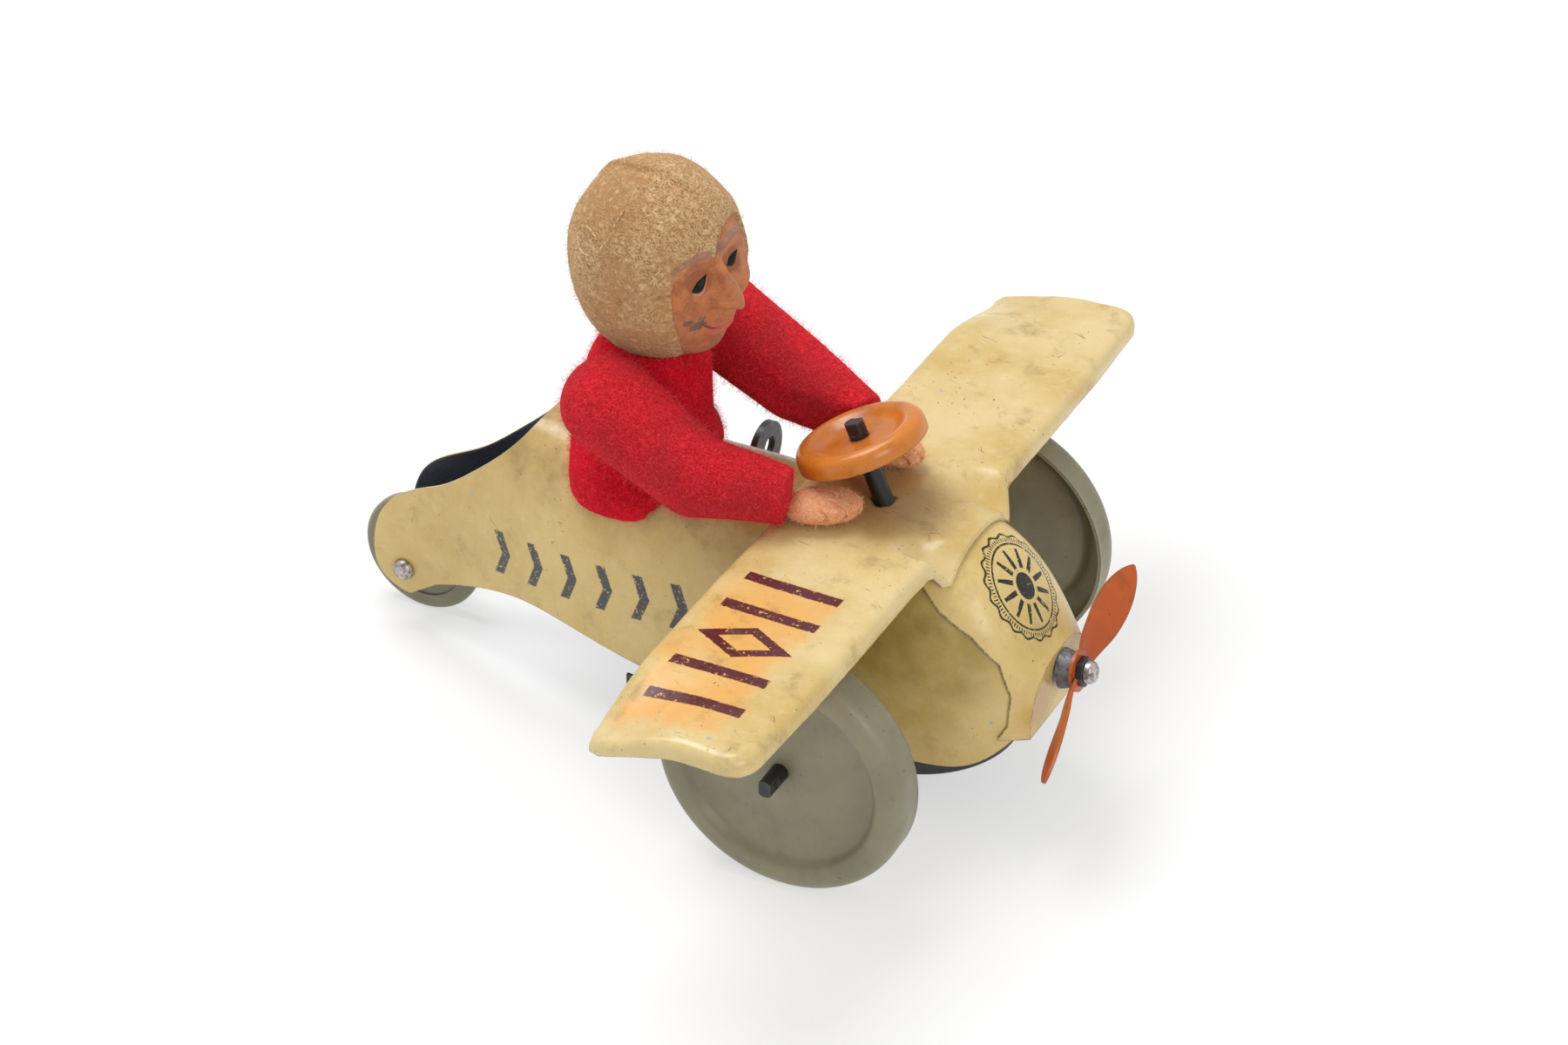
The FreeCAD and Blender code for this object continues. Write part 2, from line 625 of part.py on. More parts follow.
def hand(centre, turn, cuffSleeve):
    palm = ellipsoid(V(0, 0, 0), (6.6, 4.3, 2.4))
    palm.rotate(V(0, 0, 0), up, turn)
    palm.translate(centre)
    return palm.cut(cuffSleeve)


def faceMask():
    """The pressed mask: brow, nose and chin standing a little out of the oval of the head."""
    mask = ellipsoid(V(0, 0, 0), maskSize)
    mask = mask.fuse(ellipsoid(V(14.9, 0, -3.0), (2.9, 2.1, 3.0)))
    mask = mask.fuse(ellipsoid(V(10.6, 0, -12.0), (4.6, 5.6, 4.6)))
    keep = Part.makeBox(20, 30, 34, V(4.5, -15, -16.4))
    return mask.common(keep).cut(ellipsoid(V(0, 0, 0), headSize))


def faceWindow():
    """The opening of the helmet, an arch over the brows that narrows to the chin."""
    line = [V(0, 0, 8.2), V(0, 5.8, 7.4), V(0, 8.9, 3.6), V(0, 9.4, -2.5), V(0, 8.6, -7.5), V(0, 6.4, -12.5)]
    low = [V(0, 4.6, -20), V(0, -4.6, -20)]
    side = [V(0, -p.y, p.z) for p in line[:0:-1]]
    edges = [splineWire(side + line), Part.makeLine(line[-1], low[0]), Part.makeLine(low[0], low[1]), Part.makeLine(low[1], side[0])]
    return Part.Face(Part.Wire(Part.__sortEdges__(edges))).extrude(V(30, 0, 0))


def headParts():
    """Head ball, mask, helmet and eyes, made about the origin and then turned and set on the neck."""
    floor = neckZ - headCentre.z
    below = Part.makeBox(60, 60, 30, V(-30, -30, floor - 30))
    bore = Part.makeCylinder(neckPinR + running, 14, V(0, 0, floor - 1))
    mask = faceMask().cut(below)
    core = ellipsoid(V(0, 0, 0), headSize).cut(below).cut(bore)
    helmet = ellipsoid(V(0, 0, 0), helmetSize).cut(faceWindow()).cut(ellipsoid(V(0, 0, 0), headSize)).cut(mask).cut(below)
    helmet = helmet.cut(bore)
    parts = {"head_core": core, "helmet": helmet}
    for name, s in (("eye_left", 1), ("eye_right", -1)):
        eye = ellipsoid(V(13.2, s * 4.4, 1.4), (1.7, 2.0, 1.2)).cut(core)
        parts[name] = eye
        mask = mask.cut(eye)
    parts["face_mask"] = mask
    for part in parts.values():
        part.rotate(V(0, 0, 0), up, headYaw)
        part.translate(headCentre)
    return parts


def build():
    shell = fuselageShell()
    parts = {"fuselage_shell": shell, "nose_cowl": noseCowl(), "wing_plate": wingPlate(), "belly_tray": bellyTray().cut(shell)}
    parts["clock_plate_left"] = clockPlate(1)
    parts["clock_plate_right"] = clockPlate(-1)
    parts["clock_pillars"] = Part.makeCompound([clockPillar(xz) for xz in pillarXZ])
    parts.update(clockTrain())
    parts["ratchet_wheel"] = ratchetWheel()
    parts["click_pawl"] = clickPawl()
    parts["mainspring"] = mainspring()
    parts["winding_arbor"] = windingArbor()
    parts["winding_key"] = windingKey()
    parts["front_axle"] = frontAxle()
    wheel = frontWheel()
    parts["front_wheel_left"] = wheel
    parts["front_wheel_right"] = mirrored(wheel)
    parts["rear_wheel"] = rearWheel()
    parts["rear_axle"] = rearAxle()
    parts["propeller_pin"] = propellerPin()
    parts["propeller_bush"] = propellerBush()
    parts["propeller"] = propeller()
    parts["propeller_collar"] = propellerCollar()
    parts["steering_column"] = steeringColumn()
    parts["column_clip"] = columnClip()
    parts["steering_wheel"] = steeringWheel()
    parts["torso_core"] = torsoCore()
    parts["torso_jacket"] = torsoJacket()
    parts["seat_screw"] = seatScrew()
    parts["neck_pin"] = neckPin()
    parts["shoulder_wire"] = shoulderWire()
    left = sleeve(V(7.0, 15.8, 56.6), V(21.6, 12.4, 54.5))
    right = mirrored(sleeve(V(5.5, 16.6, 56.2), V(20.6, 13.0, 54.5)))
    parts["sleeve_left"] = left
    parts["sleeve_right"] = right
    parts["hand_left"] = hand(V(26.8, 10.6, 52.2), -12, left)
    parts["hand_right"] = hand(V(25.0, -9.8, 52.2), 34, right)
    parts.update(headParts())
    return parts


os.makedirs("parts", exist_ok=True)
for name, shape in build().items():
    shape.exportStep("parts/" + name + ".step")
    print(name, "solids", len(shape.Solids), "volume", round(shape.Volume, 1), "valid", shape.isValid())
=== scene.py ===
import bpy
import bmesh
import math
from mathutils import Matrix, Vector, noise
from mathutils.bvhtree import BVHTree


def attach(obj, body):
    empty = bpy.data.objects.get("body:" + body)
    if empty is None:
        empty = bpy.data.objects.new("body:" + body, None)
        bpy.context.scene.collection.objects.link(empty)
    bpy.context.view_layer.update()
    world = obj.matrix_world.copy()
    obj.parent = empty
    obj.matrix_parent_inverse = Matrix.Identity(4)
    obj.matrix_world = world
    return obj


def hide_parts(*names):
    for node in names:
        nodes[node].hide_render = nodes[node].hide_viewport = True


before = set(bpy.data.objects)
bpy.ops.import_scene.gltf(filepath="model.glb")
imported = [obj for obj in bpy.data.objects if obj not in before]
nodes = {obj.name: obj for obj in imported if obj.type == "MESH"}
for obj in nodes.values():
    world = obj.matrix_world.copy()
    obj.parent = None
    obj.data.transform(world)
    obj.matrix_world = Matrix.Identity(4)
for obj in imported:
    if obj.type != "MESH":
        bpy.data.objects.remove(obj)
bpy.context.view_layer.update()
mm = 0.001
print("frame loaded:", len(nodes), "nodes")

# small tools


def smoothStep(low, high, value):
    t = min(1.0, max(0.0, (value - low) / (high - low)))
    return t * t * (3 - 2 * t)


def bump(value, centre, width):
    return math.exp(-((value - centre) / width) ** 2)


def placeObject(name, data):
    item = bpy.data.objects.new(name, data)
    bpy.context.scene.collection.objects.link(item)
    return item


def makePiece(name, verts, faces, material, smooth=True):
    # verts are in millimetres; the object itself stays at the origin
    mesh = bpy.data.meshes.new(name)
    mesh.from_pydata([Vector(v) * mm for v in verts], [], faces)
    mesh.materials.append(material)
    mesh.polygons.foreach_set("use_smooth", [smooth] * len(mesh.polygons))
    return placeObject(name, mesh)


def gridFaces(rows, columns, closed=False, start=0):
    # quads over rows of points; closed joins each row's end to its start
    faces = []
    for i in range(rows - 1):
        for j in range(columns if closed else columns - 1):
            a = start + i * columns
            b = (j + 1) % columns
            faces.append([a + j, a + b, a + columns + b, a + columns + j])
    return faces


def tidyMesh(piece, distance=1e-6, turnOut=True):
    work = bmesh.new()
    work.from_mesh(piece.data)
    bmesh.ops.remove_doubles(work, verts=work.verts, dist=distance)
    if turnOut:
        bmesh.ops.recalc_face_normals(work, faces=work.faces)
    work.to_mesh(piece.data)
    work.free()


def turnOutward(piece, direction=None):
    # flips a mesh that faces away from the direction, or towards the head's centre when none is given
    def facing(face):
        return face.normal.dot(direction or face.center - Vector(headLook["centre"]) * mm) * face.area

    if sum(facing(face) for face in piece.data.polygons) < 0:
        piece.data.flip_normals()


def shadeSmooth(piece):
    piece.data.polygons.foreach_set("use_smooth", [True] * len(piece.data.polygons))


def addModifier(piece, kind, **values):
    modifier = piece.modifiers.new(kind.title(), kind)
    for key, value in values.items():
        setattr(modifier, key, value)


def applyModifiers(piece):
    graph = bpy.context.evaluated_depsgraph_get()
    mesh = bpy.data.meshes.new_from_object(piece.evaluated_get(graph))
    piece.modifiers.clear()
    piece.data = mesh


def surfaceTree(*names):
    # for casting rays on some of the frame's own nodes
    verts, faces = [], []
    for name in names:
        mesh = nodes[name].data
        start = len(verts)
        verts += [v.co.copy() for v in mesh.vertices]
        faces += [[start + i for i in p.vertices] for p in mesh.polygons]
    return BVHTree.FromPolygons(verts, faces)


# shader tools


def addNode(tree, kind, inputs=None, **values):
    # inputs are constants, or other nodes' outputs to link from
    node = tree.nodes.new(kind if "Node" in kind else "ShaderNode" + kind)
    for key, value in values.items():
        setattr(node, key, value)
    for key, value in (inputs or {}).items():
        if isinstance(value, bpy.types.NodeSocket):
            tree.links.new(value, node.inputs[key])
        else:
            node.inputs[key].default_value = value
    return node


def maths(tree, operation, a, b=0.0, c=0.0):
    return addNode(tree, "Math", {0: a, 1: b, 2: c}, operation=operation).outputs[0]


def plus(tree, a, b):
    return maths(tree, "ADD", a, b)


def minus(tree, a, b):
    return maths(tree, "SUBTRACT", a, b)


def times(tree, a, b):
    return maths(tree, "MULTIPLY", a, b)


def most(tree, first, *others):
    # the greatest of several values
    for other in others:
        first = maths(tree, "MAXIMUM", first, other)
    return first


def vectorMaths(tree, operation, a, b):
    return addNode(tree, "VectorMath", {0: a, 1: b}, operation=operation).outputs[0]


def stretch(tree, vector, scale):
    return addNode(tree, "VectorMath", {0: vector, "Scale": scale}, operation="SCALE").outputs[0]


def ramp(tree, value, low, high, outLow=0.0, outHigh=1.0):
    # a smooth step from outLow to outHigh as value goes from low to high
    inputs = {"Value": value, "From Min": low, "From Max": high, "To Min": outLow, "To Max": outHigh}
    return addNode(tree, "MapRange", inputs, interpolation_type="SMOOTHSTEP").outputs[0]


def within(tree, value, low, high, soft):
    rise = ramp(tree, value, low - soft, low + soft)
    fall = ramp(tree, value, high - soft, high + soft, 1.0, 0.0)
    return times(tree, rise, fall)


def paintOver(tree, below, above, mask, strength=None):
    if strength is not None:
        mask = times(tree, mask, strength)
    return addNode(tree, "Mix", {0: mask, 6: below, 7: above}, data_type="RGBA").outputs[2]


def noiseAt(tree, vector, scale, detail=3.0, rough=0.55):
    inputs = {"Vector": vector, "Scale": scale, "Detail": detail, "Roughness": rough}
    return addNode(tree, "TexNoise", inputs).outputs["Fac"]


def jitterAt(tree, vector, scale, detail, reach):
    # a wandering offset either side of nothing
    return times(tree, minus(tree, noiseAt(tree, vector, scale, detail), 0.5), reach)


def millimetres(tree):
    # object coordinates in millimetres, and their three parts
    place = addNode(tree, "TexCoord").outputs["Object"]
    scaled = stretch(tree, place, 1000.0)
    parts = addNode(tree, "SeparateXYZ", {0: scaled})
    return scaled, parts.outputs[0], parts.outputs[1], parts.outputs[2]


def newGroup(name, inputs, outputs, kind="ShaderNodeTree"):
    # returns the group, its given values and its wanted results
    group = bpy.data.node_groups.new(name, kind)
    for label, sort, value in inputs:
        socket = group.interface.new_socket(label, in_out="INPUT", socket_type="NodeSocket" + sort)
        if value is not None:
            socket.default_value = value
    for label, sort in outputs:
        group.interface.new_socket(label, in_out="OUTPUT", socket_type="NodeSocket" + sort)
    return group, group.nodes.new("NodeGroupInput").outputs, group.nodes.new("NodeGroupOutput").inputs


def useGroup(tree, group, **values):
    return addNode(tree, "Group", values, node_tree=group)


def buildEdgeWear():
    # where paint is rubbed off bends and cut edges: the bevelled normal leaves the true one there
    group, given, made = newGroup("edgeWear", [
        ("Place", "Vector", None), ("Radius", "Float", 0.0005), ("Reach", "Float", 0.1), ("Ragged", "Float", 0.6),
        ("Scale", "Float", 1.2)], [("Mask", "Float")])
    rounded = addNode(group, "Bevel", {"Radius": given["Radius"]}, samples=4).outputs[0]
    true = addNode(group, "NewGeometry").outputs["Normal"]
    dot = addNode(group, "VectorMath", {0: rounded, 1: true}, operation="DOT_PRODUCT").outputs["Value"]
    bend = minus(group, 1.0, dot)
    rag = noiseAt(group, given["Place"], given["Scale"], 5.0, 0.65)
    rag = times(group, minus(group, rag, 0.5), given["Ragged"])
    level = plus(group, bend, times(group, rag, ramp(group, bend, 0.0, 0.06)))
    high = plus(group, given["Reach"], 0.05)
    group.links.new(ramp(group, level, given["Reach"], high), made["Mask"])
    return group


def buildSpecks():
    # small chips or dirt specks of ragged size, gathered in patches
    group, given, made = newGroup("specks", [
        ("Place", "Vector", None), ("Scale", "Float", 0.6), ("Amount", "Float", 0.5), ("Size", "Float", 0.22)],
        [("Mask", "Float")])
    bent = addNode(group, "TexNoise", {"Vector": given["Place"], "Scale": 1.7, "Detail": 4.0}).outputs["Color"]
    moved = vectorMaths(group, "SUBTRACT", bent, (0.5, 0.5, 0.5))
    moved = stretch(group, moved, 0.9)
    moved = vectorMaths(group, "ADD", given["Place"], moved)
    cells = addNode(group, "TexVoronoi", {"Vector": moved, "Scale": given["Scale"]})
    chance = addNode(group, "SeparateXYZ", {0: cells.outputs["Color"]}).outputs[0]
    patch = noiseAt(group, given["Place"], 0.07, 2.0)
    wanted = times(group, given["Amount"], ramp(group, patch, 0.38, 0.62, 0.3, 1.6))
    here = maths(group, "LESS_THAN", chance, wanted)
    size = times(group, given["Size"], plus(group, chance, 0.5))
    spot = ramp(group, cells.outputs["Distance"], times(group, size, 0.7), size, 1.0, 0.0)
    group.links.new(times(group, spot, here), made["Mask"])
    return group


def buildScratches():
    # fine broken lines that wander in one main direction
    group, given, made = newGroup("scratches", [
        ("Place", "Vector", None), ("Turn", "Float", 0.4), ("Scale", "Float", 0.5), ("Amount", "Float", 0.4)],
        [("Mask", "Float")])
    bend = addNode(group, "TexNoise", {"Vector": given["Place"], "Scale": 0.09, "Detail": 2.0}).outputs["Color"]
    bend = stretch(group, bend, 9.0)
    bent = vectorMaths(group, "ADD", given["Place"], bend)
    turned = addNode(group, "VectorRotate", {"Vector": bent, "Angle": given["Turn"]},
                     rotation_type="Z_AXIS").outputs[0]
    thin = vectorMaths(group, "MULTIPLY", turned, (0.05, 1.0, 0.4))
    cells = addNode(group, "TexVoronoi", {"Vector": thin, "Scale": given["Scale"]}, feature="DISTANCE_TO_EDGE")
    line = ramp(group, cells.outputs["Distance"], 0.004, 0.02, 1.0, 0.0)
    gate = ramp(group, noiseAt(group, given["Place"], 0.22, 3.0), 0.60, 0.72)
    mask = times(group, times(group, line, gate), given["Amount"])
    group.links.new(mask, made["Mask"])
    return group


def buildFeltGrain():
    # matted wool: fine tangled fibres, softer lumps and a slow change of shade
    group, given, made = newGroup("feltGrain", [("Place", "Vector", None), ("Scale", "Float", 1.0)], [
        ("Fibre", "Float"), ("Lump", "Float"), ("Shade", "Float"), ("Height", "Float")])
    place = stretch(group, given["Place"], given["Scale"])
    bend = addNode(group, "TexNoise", {"Vector": place, "Scale": 0.7, "Detail": 3.0}).outputs["Color"]
    bend = stretch(group, bend, 2.4)
    bent = vectorMaths(group, "ADD", place, bend)
    fibre = None
    for turn, squeeze in ((0.3, (1.0, 0.22, 1.0)), (1.4, (0.22, 1.0, 1.0)), (2.4, (1.0, 1.0, 0.22))):
        aim = {"Vector": bent, "Rotation": (turn, turn * 0.7, turn * 1.3)}
        turned = addNode(group, "VectorRotate", aim, rotation_type="EULER_XYZ").outputs[0]
        long = vectorMaths(group, "MULTIPLY", turned, squeeze)
        layer = noiseAt(group, long, 3.4, 2.0, 0.5)
        fibre = layer if fibre is None else most(group, fibre, layer)
    lump = noiseAt(group, place, 0.9, 4.0, 0.6)
    group.links.new(ramp(group, fibre, 0.45, 0.72), made["Fibre"])
    group.links.new(lump, made["Lump"])
    group.links.new(noiseAt(group, place, 0.12, 3.0, 0.5), made["Shade"])
    group.links.new(plus(group, times(group, fibre, 0.7), times(group, lump, 0.9)),
                    made["Height"])
    return group


edgeWear = buildEdgeWear()
specks = buildSpecks()
scratches = buildScratches()
feltGrain = buildFeltGrain()


def newMaterial(name):
    material = bpy.data.materials.new(name)
    material.use_nodes = True
    tree = material.node_tree
    return material, tree, tree.nodes["Principled BSDF"]


def rgb(r, g, b):
    # a colour given as it looks on a screen, from 0 to 255
    def linear(v):
        v /= 255
        return v / 12.92 if v <= 0.04045 else ((v + 0.055) / 1.055) ** 2.4
    return (linear(r), linear(g), linear(b), 1.0)


def setValues(node, **values):
    # values by socket name, with the spaces left out
    named = {socket.name.replace(" ", ""): socket for socket in node.inputs}
    for name, value in values.items():
        named[name].default_value = value


def setBump(tree, shader, height, distance, strength=1.0):
    node = addNode(tree, "Bump", {"Height": height, "Distance": distance, "Strength": strength})
    tree.links.new(node.outputs[0], shader.inputs["Normal"])


def enamel(name, look, marks=None):
    # old gloss enamel on tinplate. marks may paint more on the clean colour before the wear goes on
    material, tree, shader = newMaterial(name)
    place, x, y, z = millimetres(tree)
    slow = noiseAt(tree, place, 0.05, 4.0, 0.6)
    fine = noiseAt(tree, place, 0.6, 5.0, 0.65)
    colour = paintOver(tree, look["paint"], look["paintDark"], ramp(tree, slow, 0.35, 0.68))
    colour = paintOver(tree, colour, look["paintPale"], ramp(tree, fine, 0.5, 0.8), look["mottle"])
    if marks:
        colour = marks(tree, colour, place, x, y, z)
    dirt = ramp(tree, noiseAt(tree, place, look["grimeScale"], 6.0, 0.7), 0.52, 0.75)
    colour = paintOver(tree, colour, look["grime"], dirt, look["grimeAmount"])
    line = useGroup(tree, scratches, Place=place, Scale=0.55, Turn=look["scratchTurn"],
                    Amount=look["scratchAmount"]).outputs[0]
    colour = paintOver(tree, colour, look["grime"], line)
    speck = useGroup(tree, specks, Place=place, Scale=0.9, Amount=look["speckAmount"], Size=0.16).outputs[0]
    colour = paintOver(tree, colour, look["speck"], speck)
    chip = useGroup(tree, specks, Place=place, Scale=0.28, Amount=look["chipAmount"], Size=0.2).outputs[0]
    colour = paintOver(tree, colour, look["primer"], chip)
    rub = useGroup(tree, edgeWear, Place=place, Radius=look["rubRadius"], Reach=look["rubReach"] * 0.5,
                   Ragged=0.5,
                   Scale=0.8).outputs[0]
    colour = paintOver(tree, colour, look["rubbed"], rub, look["rubAmount"])
    bare = useGroup(tree, edgeWear, Place=place, Radius=look["bareRadius"], Reach=look["bareReach"],
                    Ragged=look["bareRagged"],
                    Scale=0.55).outputs[0]
    metal = paintOver(tree, look["metal"], look["metalDark"],
                      ramp(tree, noiseAt(tree, place, 2.2, 4.0), 0.4, 0.65))
    colour = paintOver(tree, colour, metal, bare)
    tree.links.new(colour, shader.inputs["Base Color"])
    tree.links.new(times(tree, bare, look["metalness"]), shader.inputs["Metallic"])
    rough = ramp(tree, fine, 0.3, 0.7, look["rough"][0], look["rough"][1])
    rough = plus(tree, rough, times(tree, most(tree, bare, chip), 0.2))
    tree.links.new(rough, shader.inputs["Roughness"])
    shader.inputs["Specular IOR Level"].default_value = look["gloss"]
    worn = most(tree, bare, chip, times(tree, line, 0.6))
    height = minus(tree, times(tree, noiseAt(tree, place, 0.35, 3.0), 0.5), worn)
    setBump(tree, shader, height, 0.00006, 0.6)
    return material


# paint and metal finishes

creamLook = {
    "paint": rgb(216, 189, 122), "paintDark": rgb(200, 170, 98), "paintPale": rgb(226, 206, 156), "mottle": 0.4,
    "grime": rgb(110, 86, 50), "grimeScale": 0.16, "grimeAmount": 0.3, "scratchTurn": 0.5, "scratchAmount": 0.75,
    "speck": rgb(74, 60, 44), "speckAmount": 0.24, "primer": rgb(170, 174, 172), "chipAmount": 0.13,
    "rubRadius": 0.0008, "rubReach": 0.12, "rubbed": rgb(214, 200, 160), "rubAmount": 0.25,
    "bareRadius": 0.00045, "bareReach": 0.22, "bareRagged": 0.8, "metal": rgb(132, 122, 112),
    "metalDark": rgb(78, 64, 52),
    "metalness": 0.5, "rough": (0.22, 0.36), "gloss": 0.5,
}
wheelLook = dict(creamLook, paint=rgb(140, 134, 108), paintDark=rgb(124, 119, 96), paintPale=rgb(152, 147, 124),
                 mottle=0.3,
                 grime=rgb(92, 80, 62), grimeAmount=0.35, speck=rgb(70, 60, 50), primer=rgb(110, 100, 90),
                 chipAmount=0.04,
                 scratchAmount=0.25, rubbed=rgb(150, 138, 118), metal=rgb(112, 98, 90), bareReach=0.3,
                 rough=(0.34, 0.46),
                 gloss=0.4)
amberLook = dict(creamLook, paint=rgb(205, 122, 38), paintDark=rgb(182, 98, 34), paintPale=rgb(216, 140, 62),
                 mottle=0.3,
                 grime=rgb(70, 42, 24), grimeAmount=0.35, speckAmount=0.2, speck=rgb(60, 38, 26), chipAmount=0.02,
                 rubbed=rgb(150, 92, 50), rubAmount=0.55, metal=rgb(90, 66, 48), metalDark=rgb(50, 38, 30),
                 bareReach=0.34,
                 bareRagged=1.2, rough=(0.22, 0.34), gloss=0.5, scratchAmount=0.25)
orangeLook = dict(amberLook, paint=rgb(192, 88, 24), paintDark=rgb(176, 76, 20), paintPale=rgb(202, 104, 40),
                  metal=rgb(140, 112, 92), metalDark=rgb(100, 76, 60), bareReach=0.12, bareRadius=0.0004,
                  rough=(0.3, 0.42))
blackLook = dict(creamLook, paint=rgb(38, 37, 40), paintDark=rgb(28, 27, 30), paintPale=rgb(58, 55, 56),
                 mottle=0.4,
                 grime=rgb(74, 62, 52), grimeAmount=0.4, speck=rgb(96, 82, 68), primer=rgb(70, 66, 64),
                 chipAmount=0.05,
                 rubbed=rgb(80, 74, 72), metal=rgb(128, 122, 118), metalDark=rgb(70, 62, 58), bareReach=0.35,
                 rough=(0.28, 0.45), gloss=0.5)


def sideMarks(tree, colour, place, x, y, z):
    # a row of dark chevrons along each side of the fuselage, dirt where the pilot sits, and painted shade in a
    # yellow-olive tone on the cheeks under the wing
    look = {"first": -38.0, "pitch": 7.4, "count": 6, "high": 4.2, "line": 28.6, "rise": 0.11,
            "ink": rgb(66, 66, 66),
            "soiled": rgb(150, 124, 84), "yellowed": rgb(158, 136, 66), "inside": rgb(50, 54, 68)}
    jitter = jitterAt(tree, place, 2.5, 3.0, 0.35)
    along = maths(tree, "DIVIDE", minus(tree, plus(tree, x, jitter), look["first"]), look["pitch"])
    centre = maths(tree, "MULTIPLY_ADD", x, look["rise"], look["line"] - 4.0 * look["rise"])
    rise = maths(tree, "ABSOLUTE", minus(tree, plus(tree, z, jitter), centre))
    point = minus(tree, maths(tree, "FRACT", along), times(tree, rise, -0.055))
    arrow = within(tree, point, 0.34, 0.60, 0.02)
    arrow = times(tree, arrow, ramp(tree, rise, look["high"] - 0.1, look["high"] + 0.1, 1.0, 0.0))
    arrow = times(tree, arrow, within(tree, along, 0.0, float(look["count"]), 0.01))
    arrow = times(tree, arrow, ramp(tree, maths(tree, "ABSOLUTE", y), 5.0, 5.6))
    worn = ramp(tree, noiseAt(tree, place, 1.6, 5.0, 0.7), 0.36, 0.44)
    colour = paintOver(tree, colour, look["ink"], arrow, worn)
    seat = times(tree, within(tree, x, -36.0, 18.0, 7.0), ramp(tree, z, 34.0, 46.0))
    seat = times(tree, seat, ramp(tree, noiseAt(tree, place, 0.22, 5.0, 0.65), 0.3, 0.7, 0.15, 0.75))
    colour = paintOver(tree, colour, look["soiled"], seat)
    # painted shade: the cheeks under the wing are darkened to a yellow-olive, standing in for the wing's shadow
    nose = times(tree, within(tree, x, 24.0, 58.0, 5.0), ramp(tree, z, 24.0, 30.0))
    nose = times(tree, nose, ramp(tree, noiseAt(tree, place, 0.09, 3.0), 0.3, 0.6, 0.25, 0.85))
    colour = paintOver(tree, colour, look["yellowed"], nose)
    middle = maths(tree, "MULTIPLY_ADD", x, 0.16, 20.0)
    outward = addNode(tree, "CombineXYZ", {0: times(tree, x, 0.25), 1: y, 2: minus(tree, z, middle)}).outputs[0]
    outward = addNode(tree, "VectorMath", {0: outward}, operation="NORMALIZE").outputs[0]
    facing = addNode(tree, "NewGeometry").outputs["Normal"]
    facing = addNode(tree, "VectorMath", {0: facing, 1: outward}, operation="DOT_PRODUCT").outputs["Value"]
    return paintOver(tree, colour, look["inside"], ramp(tree, facing, -0.3, -0.2, 1.0, 0.0))


def wingMarks(tree, colour, place, x, y, z):
    # maroon registration bars and a diamond across the starboard wing, on a yellowed patch, rust at the column, and a
    # painted shade ring for the dark gap round it
    look = {"ink": rgb(88, 22, 28), "yellowed": rgb(226, 168, 88), "rust": rgb(168, 128, 78),
            "hole": rgb(40, 34, 30),
            "bars": (-29.0, -37.0, -53.5, -61.5), "barHalf": 1.15, "barLow": 21.5, "barHigh": 38.0,
            "diamond": (29.7, -45.3)}
    jitter = jitterAt(tree, place, 1.8, 3.0, 0.4)
    edge = jitterAt(tree, place, 0.12, 4.0, 9.0)
    xx = plus(tree, x, edge)
    yy = plus(tree, y, edge)
    patch = times(tree, within(tree, xx, 20.0, 37.0, 2.0), within(tree, yy, -68.0, -30.0, 2.5))
    patch = times(tree, patch, ramp(tree, noiseAt(tree, place, 0.1, 3.0), 0.3, 0.6, 0.45, 0.95))
    colour = paintOver(tree, colour, look["yellowed"], patch)
    sx = plus(tree, x, jitter)
    sy = plus(tree, y, jitter)
    middleX, middleY = look["diamond"]
    across = maths(tree, "ABSOLUTE", minus(tree, sy, middleY))
    along = maths(tree, "ABSOLUTE", minus(tree, sx, middleX))
    ink = within(tree, plus(tree, times(tree, across, 1.9), along), 4.6, 8.3, 0.15)
    for centre in look["bars"]:
        bar = within(tree, sy, centre - look["barHalf"], centre + look["barHalf"], 0.12)
        ink = most(tree, ink, times(tree, bar, within(tree, sx, look["barLow"], look["barHigh"], 0.12)))
    worn = ramp(tree, noiseAt(tree, place, 0.9, 5.0, 0.7), 0.36, 0.42)
    colour = paintOver(tree, colour, look["ink"], ink, worn)
    far = addNode(tree, "CombineXYZ", {0: x, 1: y, 2: 0.0}).outputs[0]
    foot = addNode(tree, "VectorMath", {0: far, 1: (31.0, 0.0, 0.0)}, operation="DISTANCE").outputs["Value"]
    foot = plus(tree, foot, times(tree, noiseAt(tree, place, 0.5, 4.0), 2.2))
    colour = paintOver(tree, colour, look["rust"], ramp(tree, foot, 4.0, 17.0, 0.75, 0.0))
    # painted shade: a dark ring round the column foot stands for the shadowed gap where the column passes through the
    # wing
    return paintOver(tree, colour, look["hole"], ramp(tree, foot, 2.9, 3.6, 1.0, 0.0))


